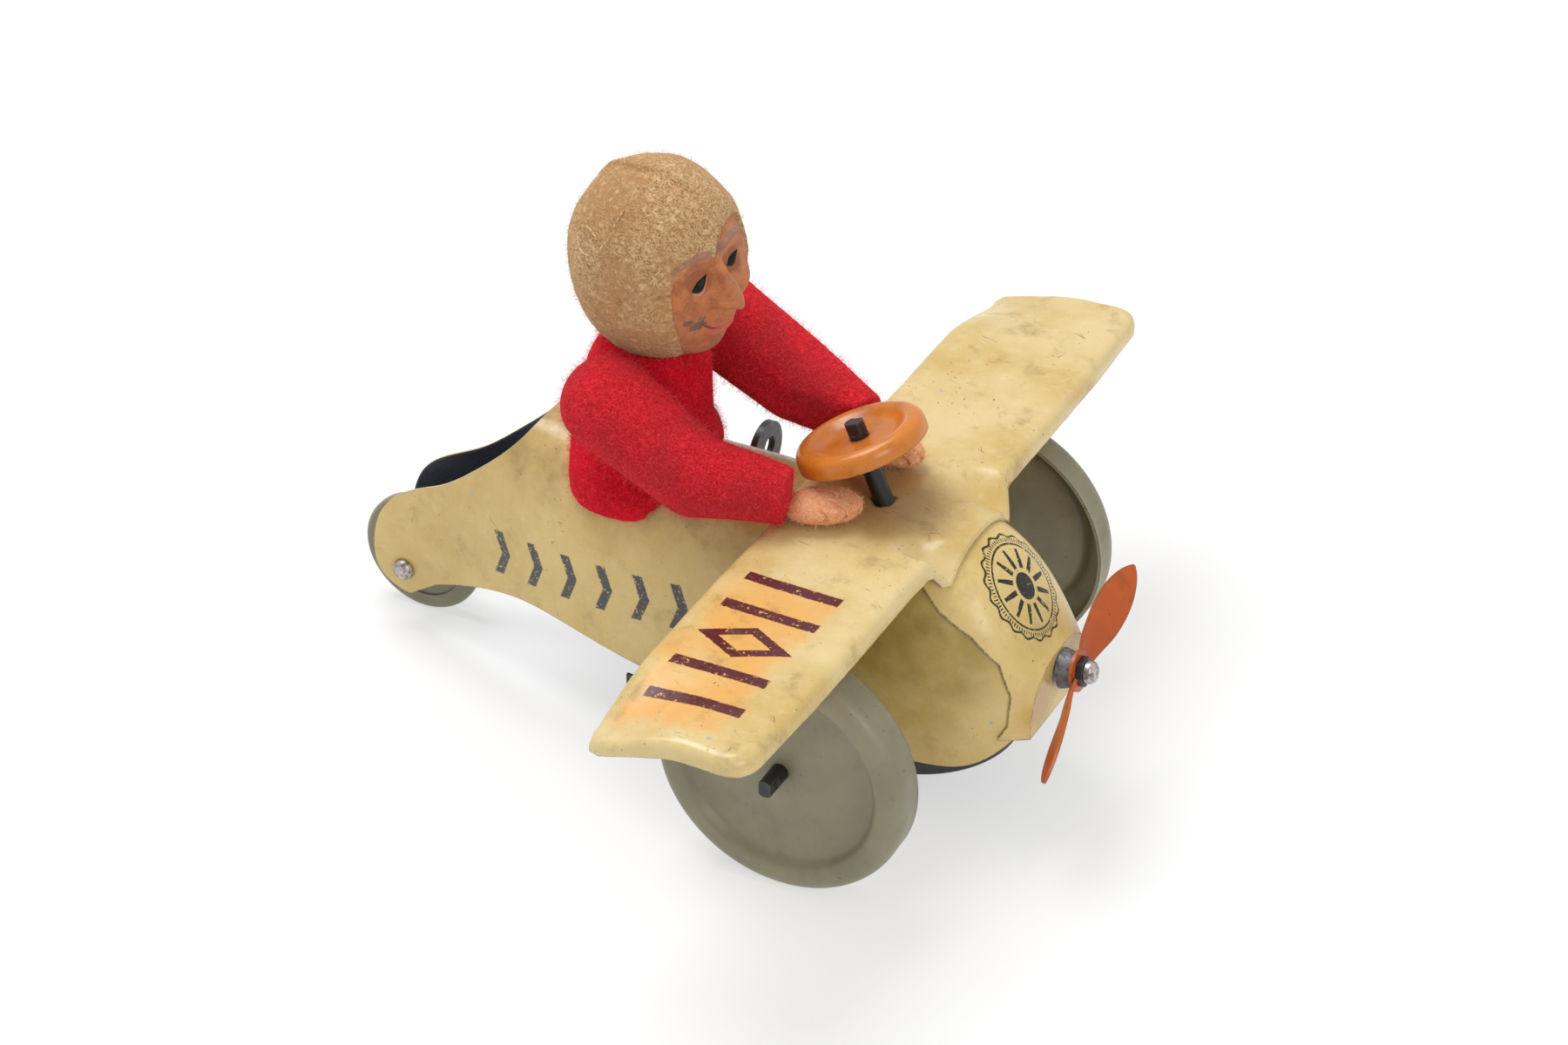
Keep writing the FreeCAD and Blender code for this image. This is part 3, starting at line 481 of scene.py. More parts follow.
def noseMarks(tree, colour, place, x, y, z):
    # a plain sunburst in a scalloped oval, printed in black on the sloping nose
    look = {"middle": (55.6, 0.2, 40.0), "slope": (0.54, -0.842), "wide": 8.2, "long": 9.2,
            "ink": rgb(30, 28, 22)}
    cx, cy, cz = look["middle"]
    jitter = jitterAt(tree, place, 3.0, 2.0, 0.25)
    sx = times(tree, minus(tree, x, cx), look["slope"][0])
    sz = times(tree, minus(tree, z, cz), look["slope"][1])
    down = maths(tree, "DIVIDE", plus(tree, plus(tree, sx, sz), jitter), look["long"])
    side = maths(tree, "DIVIDE", plus(tree, minus(tree, y, cy), jitter), look["wide"])
    angle = maths(tree, "ARCTAN2", down, side)
    radius = maths(tree, "SQRT", plus(tree, times(tree, down, down), times(tree, side, side)))
    wave = times(tree, maths(tree, "SINE", times(tree, angle, 18.0)), 0.028)
    scallop = within(tree, plus(tree, radius, wave), 0.955, 1.0, 0.012)
    ring = within(tree, radius, 0.79, 0.83, 0.01)
    rays = maths(tree, "SINE", times(tree, angle, 12.0))
    reach = ramp(tree, radius, 0.24, 0.7, -0.3, 0.75)
    ray = times(tree, ramp(tree, minus(tree, rays, reach), 0.0, 0.12), within(tree, radius, 0.34, 0.72, 0.01))
    sun = ramp(tree, radius, 0.25, 0.265, 1.0, 0.0)
    ticks = maths(tree, "SINE", times(tree, angle, 90.0))
    tick = times(tree, ramp(tree, ticks, 0.1, 0.4), within(tree, radius, 0.86, 0.93, 0.01))
    ink = most(tree, most(tree, scallop, ring), most(tree, ray, most(tree, sun, tick)))
    worn = ramp(tree, noiseAt(tree, place, 1.3, 5.0, 0.7), 0.34, 0.42)
    return paintOver(tree, colour, look["ink"], ink, worn)


def metalFinish(name, pale, dark, rough, metalness=0.9, wear=0.0):
    # bare metal with a mottled tarnish, and brighter rubbed edges
    material, tree, shader = newMaterial(name)
    place = millimetres(tree)[0]
    stain = ramp(tree, noiseAt(tree, place, 0.9, 6.0, 0.7), 0.4, 0.62)
    colour = paintOver(tree, pale, dark, stain)
    if wear:
        rub = useGroup(tree, edgeWear, Place=place, Radius=0.0003, Reach=0.15, Ragged=0.5, Scale=1.4).outputs[0]
        colour = paintOver(tree, colour, tuple(min(1.0, c * 1.6) for c in pale[:3]) + (1.0,), rub, wear)
    tree.links.new(colour, shader.inputs["Base Color"])
    shader.inputs["Metallic"].default_value = metalness
    tree.links.new(ramp(tree, noiseAt(tree, place, 2.0, 4.0), 0.3, 0.7, rough, rough + 0.18),
                   shader.inputs["Roughness"])
    setBump(tree, shader, noiseAt(tree, place, 1.4, 5.0, 0.6), 0.00008, 0.5)
    return material


def feltFinish(name, look):
    # wool felt with tangled fibres, rubbed pale nap and soiled patches
    material, tree, shader = newMaterial(name)
    place = millimetres(tree)[0]
    grain = useGroup(tree, feltGrain, Place=place, Scale=look["scale"])
    colour = paintOver(tree, look["deep"], look["wool"], grain.outputs["Fibre"])
    colour = paintOver(tree, colour, look["shade"], ramp(tree, grain.outputs["Shade"], 0.42, 0.66, 0.0,
                                                         look["shadeAmount"]))
    colour = paintOver(tree, colour, look["pale"], ramp(tree, grain.outputs["Lump"], 0.52, 0.75),
                       look["paleAmount"])
    speck = useGroup(tree, specks, Place=place, Scale=1.3, Amount=look["speckAmount"], Size=0.14).outputs[0]
    colour = paintOver(tree, colour, look["speck"], speck)
    tree.links.new(colour, shader.inputs["Base Color"])
    setValues(shader, Roughness=0.95, SpecularIORLevel=0.15, SheenWeight=look["sheen"], SheenRoughness=0.5,
              SheenTint=look["pale"])
    setBump(tree, shader, grain.outputs["Height"], look["nap"], 0.9)
    return material


redLook = {"wool": rgb(240, 22, 46), "deep": rgb(190, 4, 26), "shade": rgb(168, 6, 24), "shadeAmount": 0.45,
           "pale": rgb(246, 60, 76),
           "paleAmount": 0.3, "speck": rgb(120, 20, 24), "speckAmount": 0.12, "sheen": 0.25, "scale": 1.0,
           "nap": 0.0004}
tanLook = {"wool": rgb(222, 186, 140), "deep": rgb(150, 108, 66), "shade": rgb(176, 130, 84), "shadeAmount": 0.75,
           "pale": rgb(236, 208, 166),
           "paleAmount": 0.6, "speck": rgb(110, 80, 50), "speckAmount": 0.2, "sheen": 0.3, "scale": 1.0,
           "nap": 0.0004}
peachLook = {"wool": rgb(244, 186, 140), "deep": rgb(220, 138, 92), "shade": rgb(226, 150, 106),
             "shadeAmount": 0.5, "pale": rgb(250, 210, 176),
             "paleAmount": 0.4, "speck": rgb(170, 110, 80), "speckAmount": 0.08, "sheen": 0.3, "scale": 1.2,
             "nap": 0.0004}
sleeveLook = dict(redLook, wool=rgb(228, 46, 56), deep=rgb(176, 18, 32), shade=rgb(160, 40, 44), shadeAmount=0.55)

fuselagePaint = enamel("creamFuselage", creamLook, sideMarks)
wingPaint = enamel("creamWing", dict(creamLook, paint=rgb(219, 196, 140), paintDark=rgb(202, 172, 104),
                                     paintPale=rgb(226, 209, 164),
                                     grimeAmount=0.45, speckAmount=0.34, scratchAmount=0.95), wingMarks)
nosePaint = enamel("creamNose", dict(creamLook, bareReach=0.06, rubAmount=0.1), noseMarks)
wheelPaint = enamel("greyWheel", wheelLook)
amberPaint = enamel("amberSteering", amberLook)
orangePaint = enamel("orangePropeller", orangeLook)
blackPaint = enamel("blackFittings", blackLook)
steelBare = metalFinish("oiledSteel", rgb(150, 144, 140), rgb(88, 78, 72), 0.32, 0.9, 0.5)
rivetSteel = metalFinish("rivetSteel", rgb(196, 190, 188), rgb(120, 108, 104), 0.3, 0.75, 0.3)
zincBare = metalFinish("greyBush", rgb(122, 122, 128), rgb(84, 82, 86), 0.45, 0.6, 0.4)
brassBare = metalFinish("stampedBrass", rgb(206, 170, 100), rgb(140, 104, 56), 0.3, 0.95, 0.4)
redFelt = feltFinish("redFelt", redLook)
sleeveFelt = feltFinish("redSleeveFelt", sleeveLook)
tanFelt = feltFinish("tanFelt", tanLook)
peachFelt = feltFinish("peachFelt", peachLook)
print("materials made")

# frame nodes that keep their shape

nodePaint = {
    fuselagePaint: ["fuselage_shell"],
    nosePaint: ["nose_cowl"],
    wheelPaint: ["front_wheel_left", "front_wheel_right", "rear_wheel"],
    amberPaint: ["steering_wheel"],
    orangePaint: ["propeller"],
    blackPaint: ["belly_tray", "winding_key", "steering_column", "front_axle", "propeller_collar"],
    rivetSteel: ["rear_axle", "propeller_pin"],
    zincBare: ["propeller_bush"],
    brassBare: ["great_wheel", "second_wheel", "idler_wheel"],
    steelBare: ["clock_plate_left", "clock_plate_right", "clock_pillars", "second_pinion", "axle_pinion",
                "second_shaft",
                "idler_shaft", "ratchet_wheel", "click_pawl", "mainspring", "winding_arbor", "column_clip",
                "seat_screw",
                "neck_pin", "shoulder_wire"],
}


def finishNode(name, material):
    # a frame node keeps its mesh; it is only welded, smoothed and painted
    node = nodes[name]
    node.data.materials.clear()
    node.data.materials.append(material)
    shadeSmooth(node)
    addModifier(node, "WELD", merge_threshold=2e-6)
    addModifier(node, "EDGE_SPLIT", split_angle=math.radians(32))


for material, names in nodePaint.items():
    for name in names:
        finishNode(name, material)

# camera, floor and light


def buildStudio():
    look = {"lens": 92.95, "place": (0.2684, -0.4894, 0.4121), "turn": (55.97, 0.0, 27.57), "glow": 0.55,
            "floorGrey": 0.42, "floorHalf": 1500.0, "sky": 0.62, "aim": (0, 0, 0.03)}
    camera = placeObject("camera", bpy.data.cameras.new("camera"))
    camera.data.lens = look["lens"]
    camera.data.sensor_width = 36.0
    camera.data.clip_start = 0.01
    camera.location = look["place"]
    camera.rotation_euler = [math.radians(a) for a in look["turn"]]
    bpy.context.scene.camera = camera
    floor, shader = newMaterial("paleFloor")[::2]
    grey, white = look["floorGrey"], (1.0, 1.0, 1.0, 1.0)
    setValues(shader, BaseColor=(grey, grey, grey, 1.0), Roughness=1.0, SpecularIORLevel=0.0, EmissionColor=white,
              EmissionStrength=look["glow"])
    half = look["floorHalf"]
    corners = [(-half, -half, 0), (half, -half, 0), (half, half, 0), (-half, half, 0)]
    ground = makePiece("floor", corners, [[0, 1, 2, 3]], floor, False)
    world = bpy.data.worlds.new("studio")
    world.use_nodes = True
    setValues(world.node_tree.nodes["Background"], Color=white, Strength=look["sky"])
    bpy.context.scene.world = world
    lamps = (("key", (-0.30, 0.10, 0.75), 0.45, 4.2), ("front", (0.62, -0.35, 0.45), 0.3, 1.4))
    for name, place, size, power in lamps:
        lamp = bpy.data.lights.new(name, "AREA")
        lamp.size = size
        lamp.energy = power
        holder = placeObject(name, lamp)
        holder.location = place
        holder.rotation_euler = (Vector(look["aim"]) - Vector(place)).to_track_quat("-Z", "Y").to_euler()
    bpy.context.scene.view_settings.view_transform = "Standard"
    bpy.context.scene.view_settings.look = "None"


buildStudio()

# the wing


def wingForm(x, y):
    # height of the pressed top surface: tips let down at the rear, a slow sag and a few dents
    look = {"top": 49.35, "droop": 3.9, "dents": 0.3}
    side = abs(y)
    z = look["top"] - look["droop"] * smoothStep(52, 73, side) * smoothStep(34, 16, x)
    z -= 0.35 * bump(side, 14.5, 2.2) * smoothStep(20, 30, x)
    z -= 0.25 * smoothStep(60, 74, side)
    z -= 0.55 * smoothStep(20.5, 16.8, x)
    z += look["dents"] * (noise.noise(Vector((x * 0.06, y * 0.05, 3.1))))
    z += 0.07 * noise.noise(Vector((x * 0.22, y * 0.2, 7.7)))
    return z


def buildWing():
    look = {"front": 45.3, "rear": 16.9, "starboard": 73.4, "port": 75.2, "bend": 2.1, "cornerFront": 5.0,
            "cornerRear": 2.6,
            "lobeHalf": 11.6, "lobeReach": 50.4, "depth": 1.0, "wall": 0.45, "rows": 36, "columns": 184,
            "clear": 0.62}
    floor = surfaceTree("fuselage_shell", "nose_cowl")
    bend, rows, columns = look["bend"], look["rows"], look["columns"]

    def lobe(y):
        inner, outer = (-1.0, 1.6) if y < 0.4 else (-1.6, 6.0)
        return 1.0 - smoothStep(look["lobeHalf"] + inner, look["lobeHalf"] + outer, abs(y - 0.4))

    def place(s, t):
        # s runs from the rear edge to the front one, t from the starboard tip to the port one, both -1 to 1
        edge = look["port"] if t > 0 else look["starboard"]
        halfSpan = edge - bend
        y = t * halfSpan
        rear = look["rear"] + bend
        front = look["front"] - bend - 0.9 * smoothStep(50, 73, abs(y))
        x = rear + (front - rear) * (s + 1) / 2
        outward = Vector((0.0, 0.0))
        for cornerX, radius in ((front, look["cornerFront"] - bend), (rear, look["cornerRear"] - bend)):
            sign = 1 if cornerX == front else -1
            centre = Vector((cornerX - sign * radius, math.copysign(halfSpan - radius, y)))
            away = Vector((x, y)) - centre
            if away.x * sign > 0 and away.y * centre.y > 0 and away.length > 1e-9:
                reach = max(abs(away.x), abs(away.y))
                away = away.normalized() * reach
                x, y = centre.x + away.x, centre.y + away.y
                outward = away.normalized()
        tip = abs(y) / halfSpan
        y -= math.copysign(0.9, y) * smoothStep(0.9, 1.0, tip) * bump(x, 33.0, 9.0)
        if outward.length < 0.5:
            outward = Vector((s, 0.0)) if abs(s) > 0.999 else Vector((0.0, math.copysign(1.0, t)))
            outward.normalize()
        return x, y, outward

    verts = []
    for i in range(rows):
        for j in range(columns):
            x, y, outward = place(-1 + 2 * i / (rows - 1), -1 + 2 * j / (columns - 1))
            reach = lobe(y) * smoothStep(36.0, look["front"] - bend, x)
            x += reach * (look["lobeReach"] - look["front"] - 0.5)
            z = wingForm(x, y)
            clamped = max(-10.5, min(10.5, y))
            hit = floor.ray_cast(Vector((x, clamped, 80)) * mm, Vector((0, 0, -1)))
            if hit[0] is not None and reach > 0:
                low = hit[0].z / mm + 1.15
                z = z + (min(z, low) - z) * smoothStep(0.0, 0.9, reach)
            verts.append((x, y, z))
    faces = gridFaces(rows, columns)
    loop = [(0, j) for j in range(columns)] + [(i, columns - 1) for i in range(1, rows)]
    loop += [(rows - 1, j) for j in range(columns - 2, -1, -1)] + [(i, 0) for i in range(rows - 2, 0, -1)]
    ring = [i * columns + j for i, j in loop]
    outs = [place(-1 + 2 * i / (rows - 1), -1 + 2 * j / (columns - 1))[2] for i, j in loop]
    starts = [Vector(verts[k]) for k in ring]
    previous = ring
    steps = [(bend * math.sin(a), bend * (1 - math.cos(a))) for a in (math.radians(d) for d in (15, 30, 45, 60,
                                                                                                75, 90))]
    steps += [(bend, bend + look["depth"] * 0.5), (bend, bend + look["depth"])]
    for reach, drop in steps:
        now = []
        for k, start in enumerate(starts):
            out = outs[k]
            soft = lobe(start.y) if start.x > 40 else 0.0
            tipEnd = smoothStep(70, 73, abs(start.y))
            fall = drop * (1 - 0.42 * tipEnd - 0.35 * soft)
            go = reach * (1 - 0.72 * soft)
            point = Vector((start.x + out.x * go, start.y + out.y * go, start.z - fall))
            rough = 0.12 * noise.noise(point * 0.5) * (reach / bend)
            point.z += rough
            hit = floor.ray_cast(Vector((point.x, point.y, 80)) * mm, Vector((0, 0, -1)))
            if hit[0] is not None:
                point.z = max(point.z, hit[0].z / mm + look["clear"])
            verts.append(tuple(point))
            now.append(len(verts) - 1)
        count = len(ring)
        for k in range(count):
            faces.append([previous[k], previous[(k + 1) % count], now[(k + 1) % count], now[k]])
        previous = now
    wing = makePiece("wing_pressing", verts, faces, wingPaint)
    tidyMesh(wing)
    turnOutward(wing, Vector((0, 0, 1)))
    addModifier(wing, "SOLIDIFY", thickness=look["wall"] * mm, offset=-1.0, use_even_offset=False)
    applyModifiers(wing)
    shadeSmooth(wing)
    addModifier(wing, "EDGE_SPLIT", split_angle=math.radians(50))
    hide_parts("wing_plate")
    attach(wing, "airframe")
    print("wing pressed")


buildWing()

# the propeller


def buildPropeller():
    look = {"foot": (62.6, 0.0, 26.7), "tilt": 8.0, "hub": 3.9, "line": 24.0, "reach": 21.4, "half": 3.3,
            "thick": 0.6,
            "pitchRoot": -24.0, "pitchTip": -40.0, "bore": 1.15, "hubRadius": 3.5}
    verts, faces = [], []
    across = 9
    along = 26
    for blade in (0, 1):
        start = len(verts)
        for i in range(along):
            r = 2.4 + (look["reach"] - 2.4) * i / (along - 1)
            u = (r - 2.4) / (look["reach"] - 2.4)
            half = look["half"] * (math.sin(math.pi * min(1.0,
                                                          u * 0.86 + 0.14) ** 1.25) ** 0.62) if u < 1 else 0.05
            half = max(0.25, half, 1.25 * (1 - u * 4))
            pitch = math.radians(look["pitchRoot"] + (look["pitchTip"] - look["pitchRoot"]) * u)
            sweep = 0.10 * (r - 3) * smoothStep(3, 9, r)
            for j in range(across):
                w = -1 + 2 * j / (across - 1)
                flat = w * half
                cup = 0.25 * (w * w) * (1 - u)
                x = flat * math.sin(pitch) + sweep + cup
                side = flat * math.cos(pitch)
                turn = math.radians(look["line"]) + math.pi * blade
                y = r * math.cos(turn) - side * math.sin(turn)
                z = r * math.sin(turn) + side * math.cos(turn)
                verts.append((x, y, z))
        faces += gridFaces(along, across, start=start)
    start = len(verts)
    around = 40
    for radius in (look["bore"], 2.0, look["hubRadius"]):
        for k in range(around):
            a = 2 * math.pi * k / around
            verts.append((0.0, radius * math.cos(a), radius * math.sin(a)))
    faces += gridFaces(3, around, closed=True, start=start)
    tilt = Matrix.Rotation(-math.radians(look["tilt"]), 3, "Y")
    foot = Vector(look["foot"])
    verts = [foot + tilt @ (Vector(v) + Vector((look["hub"], 0, 0))) for v in verts]
    piece = makePiece("propeller_blades", verts, faces, orangePaint)
    tidyMesh(piece, turnOut=False)
    addModifier(piece, "SOLIDIFY", thickness=look["thick"] * mm, offset=0.0)
    applyModifiers(piece)
    tidyMesh(piece, 1e-7)
    addModifier(piece, "EDGE_SPLIT", split_angle=math.radians(45))
    shadeSmooth(piece)
    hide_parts("propeller")
    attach(piece, "propeller_set")
    print("propeller twisted")


buildPropeller()

# the pilot's head

headLook = {"centre": (-9.9, 0.0, 83.8), "yaw": -15.0, "tilt": 6.0, "face": (14.3, 13.6, 16.6),
            "felt": (14.9, 14.3, 17.4),
            "lowest": 69.4}
headTurn = Matrix.Rotation(math.radians(headLook["yaw"]), 3,
                           "Z") @ Matrix.Rotation(math.radians(headLook["tilt"]), 3, "X")
windowEdge = [(-175, 39), (-140, 43), (-108, 57), (-90, 61), (-72, 59), (-40, 55), (0, 53), (30, 51), (51, 41),
              (69, 32), (84, 25),
              (95, 20.5), (108, 22.5), (134, 30), (160, 38)]


def windowAngle(roll):
    # how far from straight ahead the helmet's edge lies, round the face: a smooth curve through the listed points
    count = len(windowEdge)
    around = [(windowEdge[k % count][0] + 360 * (k // count), windowEdge[k % count][1]) for k in range(-2,
                                                                                                       count + 3)]
    roll = (roll + 175) % 360 - 175
    for (a0, f0), (a1, f1), (a2, f2), (a3, f3) in zip(around, around[1:], around[2:], around[3:]):
        if a1 <= roll <= a2:
            t = (roll - a1) / (a2 - a1)
            rise1 = (f2 - f0) / (a2 - a0) * (a2 - a1)
            rise2 = (f3 - f1) / (a3 - a1) * (a2 - a1)
            value = (2 * t ** 3 - 3 * t ** 2 + 1) * f1 + (t ** 3 - 2 * t ** 2 + t) * rise1
            return value + (3 * t ** 2 - 2 * t ** 3) * f2 + (t ** 3 - t ** 2) * rise2
    return 38.0


def headPoint(local):
    point = Vector(headLook["centre"]) + headTurn @ Vector(local)
    point.z = max(point.z, headLook["lowest"])
    return point


def faceRelief(y, z):
    # how far the pressing stands off the plain oval: nose, brow, sockets, cheeks, lips and chin
    side = abs(y)
    relief = 4.3 * bump(y, 0, 1.15 + 0.45 * smoothStep(2.5, -1, z)) * smoothStep(6.2, -1.2, z) * smoothStep(-3.2,
                                                                                                            -1.9, z)
    relief += 1.1 * bump(side, 1.75, 0.8) * bump(z, -1.7, 0.9)
    relief += 1.1 * bump(z, 6.7 - 0.07 * (side - 3.4) ** 2, 0.8) * smoothStep(9.0, 7.0, side) * smoothStep(0.5,
                                                                                                           1.7, side)
    relief -= 1.3 * bump(side, 4.1, 2.4) * bump(z, 3.3, 2.0)
    relief -= 0.7 * bump(side, 1.9, 0.8) * bump(z, 3.0, 2.0)
    relief += 0.55 * bump(side, 4.3, 2.2) * bump(z, 0.8, 0.7)
    relief += 1.3 * bump(side, 6.2, 2.8) * bump(z, -2.4, 2.7)
    relief -= 0.6 * bump(side, 3.2, 0.8) * bump(z, -4.2, 1.6)
    smile = z + 7.5 - 0.1 * side * side
    relief += 0.85 * bump(smile, 0.8, 0.75) * smoothStep(4.2, 2.2, side) + 0.8 * bump(smile, -1.0,
                                                                                      0.85) * smoothStep(3.8, 2.0, side)
    relief -= 0.65 * bump(smile, 0, 0.32) * smoothStep(4.6, 3.4, side)
    relief -= 0.5 * bump(side, 4.4, 0.8) * bump(z, -6.0, 1.2)
    relief -= 0.3 * bump(y, 0, 0.7) * bump(z, -5.2, 0.9)
    relief += 2.4 * bump(y, 0, 4.2) * bump(z, -12.6, 3.0) - 0.6 * bump(y, 0, 3.6) * bump(z, -9.6, 0.9)
    relief += 0.5 * bump(y, 0, 5.0) * bump(z, -7.5, 3.0)
    return relief


def facePoint(y, z, lift=0.0):
    # the point of the mask in front of this place, in the head's own directions
    a, b, c = headLook["face"]
    inside = max(0.0, 1 - (y / b) ** 2 - (z / c) ** 2)
    x = a * math.sqrt(inside)
    normal = Vector((x / a ** 2, y / b ** 2, z / c ** 2)).normalized()
    return Vector((x, y, z)) + normal * (faceRelief(y, z) * (0.35 + 0.65 * inside) + lift)


def maskFinish():
    look = {"skin": rgb(202, 124, 72), "skinDark": rgb(160, 88, 50), "skinPale": rgb(222, 150, 104),
            "lip": rgb(206, 104, 84),
            "rub": rgb(128, 112, 104), "cheek": rgb(112, 92, 80), "line": rgb(58, 36, 28),
            "lid": rgb(214, 150, 110)}
    material, tree, shader = newMaterial("flockedMask")
    place = millimetres(tree)[0]
    spread = addNode(tree, "UVMap", uv_map="faceMap").outputs[0]
    spread = vectorMaths(tree, "SUBTRACT", spread, (0.5, 0.5, 0.0))
    spread = stretch(tree, spread, 50.0)
    parts = addNode(tree, "SeparateXYZ", {0: spread})
    y, z = parts.outputs[0], parts.outputs[1]
    side = maths(tree, "ABSOLUTE", y)
    fine = noiseAt(tree, place, 3.2, 4.0, 0.7)
    slow = noiseAt(tree, place, 0.35, 4.0, 0.6)
    colour = paintOver(tree, look["skin"], look["skinDark"], ramp(tree, slow, 0.42, 0.66, 0.0, 0.7))
    colour = paintOver(tree, colour, look["skinPale"], ramp(tree, fine, 0.5, 0.72, 0.0, 0.6))

    def blot(centreY, centreZ, wide, high, ragged, both=True):
        dy = maths(tree, "DIVIDE", minus(tree, side if both else y, centreY), wide)
        dz = maths(tree, "DIVIDE", minus(tree, z, centreZ), high)
        far = maths(tree, "SQRT", plus(tree, times(tree, dy, dy), times(tree, dz, dz)))
        far = plus(tree, far, jitterAt(tree, place, 1.1, 4.0, ragged))
        return ramp(tree, far, 0.75, 1.05, 1.0, 0.0)

    # painted shade: the recessed eye sockets are darkened where the brow's shadow falls
    socket = blot(4.0, 2.8, 2.9, 2.0, 0.4)
    colour = paintOver(tree, colour, look["skinDark"], socket, 0.75)
    bow = maths(tree, "MULTIPLY_ADD", times(tree, side, side), -0.1, plus(tree, z, 7.5))
    lips = times(tree, within(tree, bow, -1.7, 1.3, 0.35), ramp(tree, side, 2.6, 3.8, 1.0, 0.0))
    colour = paintOver(tree, colour, look["lip"], lips, 0.8)
    seam = times(tree, within(tree, bow, -0.2, 0.2, 0.12), ramp(tree, side, 3.6, 4.4, 1.0, 0.0))
    colour = paintOver(tree, colour, look["line"], seam, 0.75)
    lid = plus(tree, y, 3.85)
    lid = plus(tree, times(tree, times(tree, lid, lid), -0.3), times(tree, lid, -0.43))
    lid = plus(tree, lid, minus(tree, z, 1.1))
    lid = times(tree, within(tree, lid, -0.14, 0.14, 0.08), within(tree, y, -5.5, -2.1, 0.3))
    colour = paintOver(tree, colour, look["lid"], lid, 0.85)
    patch = most(tree, blot(-4.7, -5.2, 1.5, 1.9, 2.0, False), blot(-6.4, -3.7, 1.0, 0.8, 1.8, False))
    colour = paintOver(tree, colour, look["cheek"], patch, 0.9)
    rub = useGroup(tree, edgeWear, Place=place, Radius=0.0011, Reach=0.02, Ragged=0.3, Scale=1.6).outputs[0]
    edge = times(tree, rub, most(tree, within(tree, z, 4.9, 8.4, 0.5), blot(0.0, -0.6, 1.6, 3.4, 0.5, False)))
    colour = paintOver(tree, colour, look["rub"], edge, 0.9)
    rim = plus(tree, z, times(tree, minus(tree, side, 3.4), times(tree, minus(tree, side, 3.4), 0.07)))
    rim = times(tree, within(tree, rim, 6.5, 7.5, 0.35), ramp(tree, noiseAt(tree, place, 1.2, 4.0), 0.4, 0.6))
    colour = paintOver(tree, colour, look["rub"], rim, 0.85)
    spot = useGroup(tree, specks, Place=place, Scale=1.6, Amount=0.25, Size=0.2).outputs[0]
    colour = paintOver(tree, colour, look["line"], spot, 0.6)
    tree.links.new(colour, shader.inputs["Base Color"])
    setValues(shader, Roughness=0.72, SheenWeight=0.12)
    setBump(tree, shader, plus(tree, noiseAt(tree, place, 5.0, 3.0, 0.7), fine), 0.0002, 0.9)
    return material


def buildFace():
    look = {"rings": 58, "around": 120, "wall": 0.55}
    verts = []
    spread = []
    for i in range(look["rings"]):
        for j in range(look["around"]):
            roll = -180 + 360 * j / look["around"]
            far = math.radians((windowAngle(roll) + 7.0) * (i + 0.02) / (look["rings"] - 1))
            b, c = headLook["face"][1:]
            y = b * math.sin(far) * math.cos(math.radians(roll))
            z = c * math.sin(far) * math.sin(math.radians(roll))
            verts.append(tuple(headPoint(facePoint(y, z))))
            spread.append((y / 50 + 0.5, z / 50 + 0.5))
    faces = gridFaces(look["rings"], look["around"], closed=True)
    faces.append(list(range(look["around"]))[::-1])
    mask = makePiece("face_mask_pressing", verts, faces, maskFinish())
    layer = mask.data.uv_layers.new(name="faceMap")
    for loop in mask.data.loops:
        layer.data[loop.index].uv = spread[loop.vertex_index]
    tidyMesh(mask, 1e-8)
    turnOutward(mask, headTurn @ Vector((1, 0, 0)))
    addModifier(mask, "SOLIDIFY", thickness=look["wall"] * mm, offset=-1.0)
    applyModifiers(mask)
    shadeSmooth(mask)
    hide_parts("face_mask")
    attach(mask, "head")


def buildEyes():
    look = {"half": 1.8, "tall": 0.85, "lift": 0.14}
    material, tree, shader = newMaterial("eyeBlack")
    place = millimetres(tree)[0]
    colour = paintOver(tree, rgb(6, 6, 8), rgb(30, 26, 24), ramp(tree, noiseAt(tree, place, 2.4, 4.0), 0.5, 0.75))
    tree.links.new(colour, shader.inputs["Base Color"])
    tree.links.new(ramp(tree, noiseAt(tree, place, 1.5, 3.0), 0.3, 0.7, 0.22, 0.5), shader.inputs["Roughness"])
    shader.inputs["Specular IOR Level"].default_value = 0.3
    for name, node, sign, middle, up, slant in (("eye_paint_left", "eye_left", 1, 4.4, 2.7, 0.2),
                                                ("eye_paint_right", "eye_right", -1, 3.85, 2.3, -0.43)):
        verts = []
        rows, columns = 7, 21
        for i in range(rows):
            for j in range(columns):
                across = -1 + 2 * j / (columns - 1)
                lid = 1 - abs(across) ** 2.2
                high = look["tall"] * lid * (-1.05 + 1.4 * i / (rows - 1))
                local = (sign * (middle + look["half"] * across), up + high + slant * across * look["half"])
                rise = 0.1 + look["lift"] * lid * (1 - (2 * i / (rows - 1) - 1) ** 2)
                verts.append(tuple(headPoint(facePoint(local[0], local[1], rise))))
        eye = makePiece(name, verts, gridFaces(rows, columns), material)
        tidyMesh(eye, 1e-6)
        turnOutward(eye, headTurn @ Vector((1, 0, 0)))
        addModifier(eye, "SOLIDIFY", thickness=0.0003, offset=-1.0)
        applyModifiers(eye)
        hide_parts(node)
        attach(eye, "head")


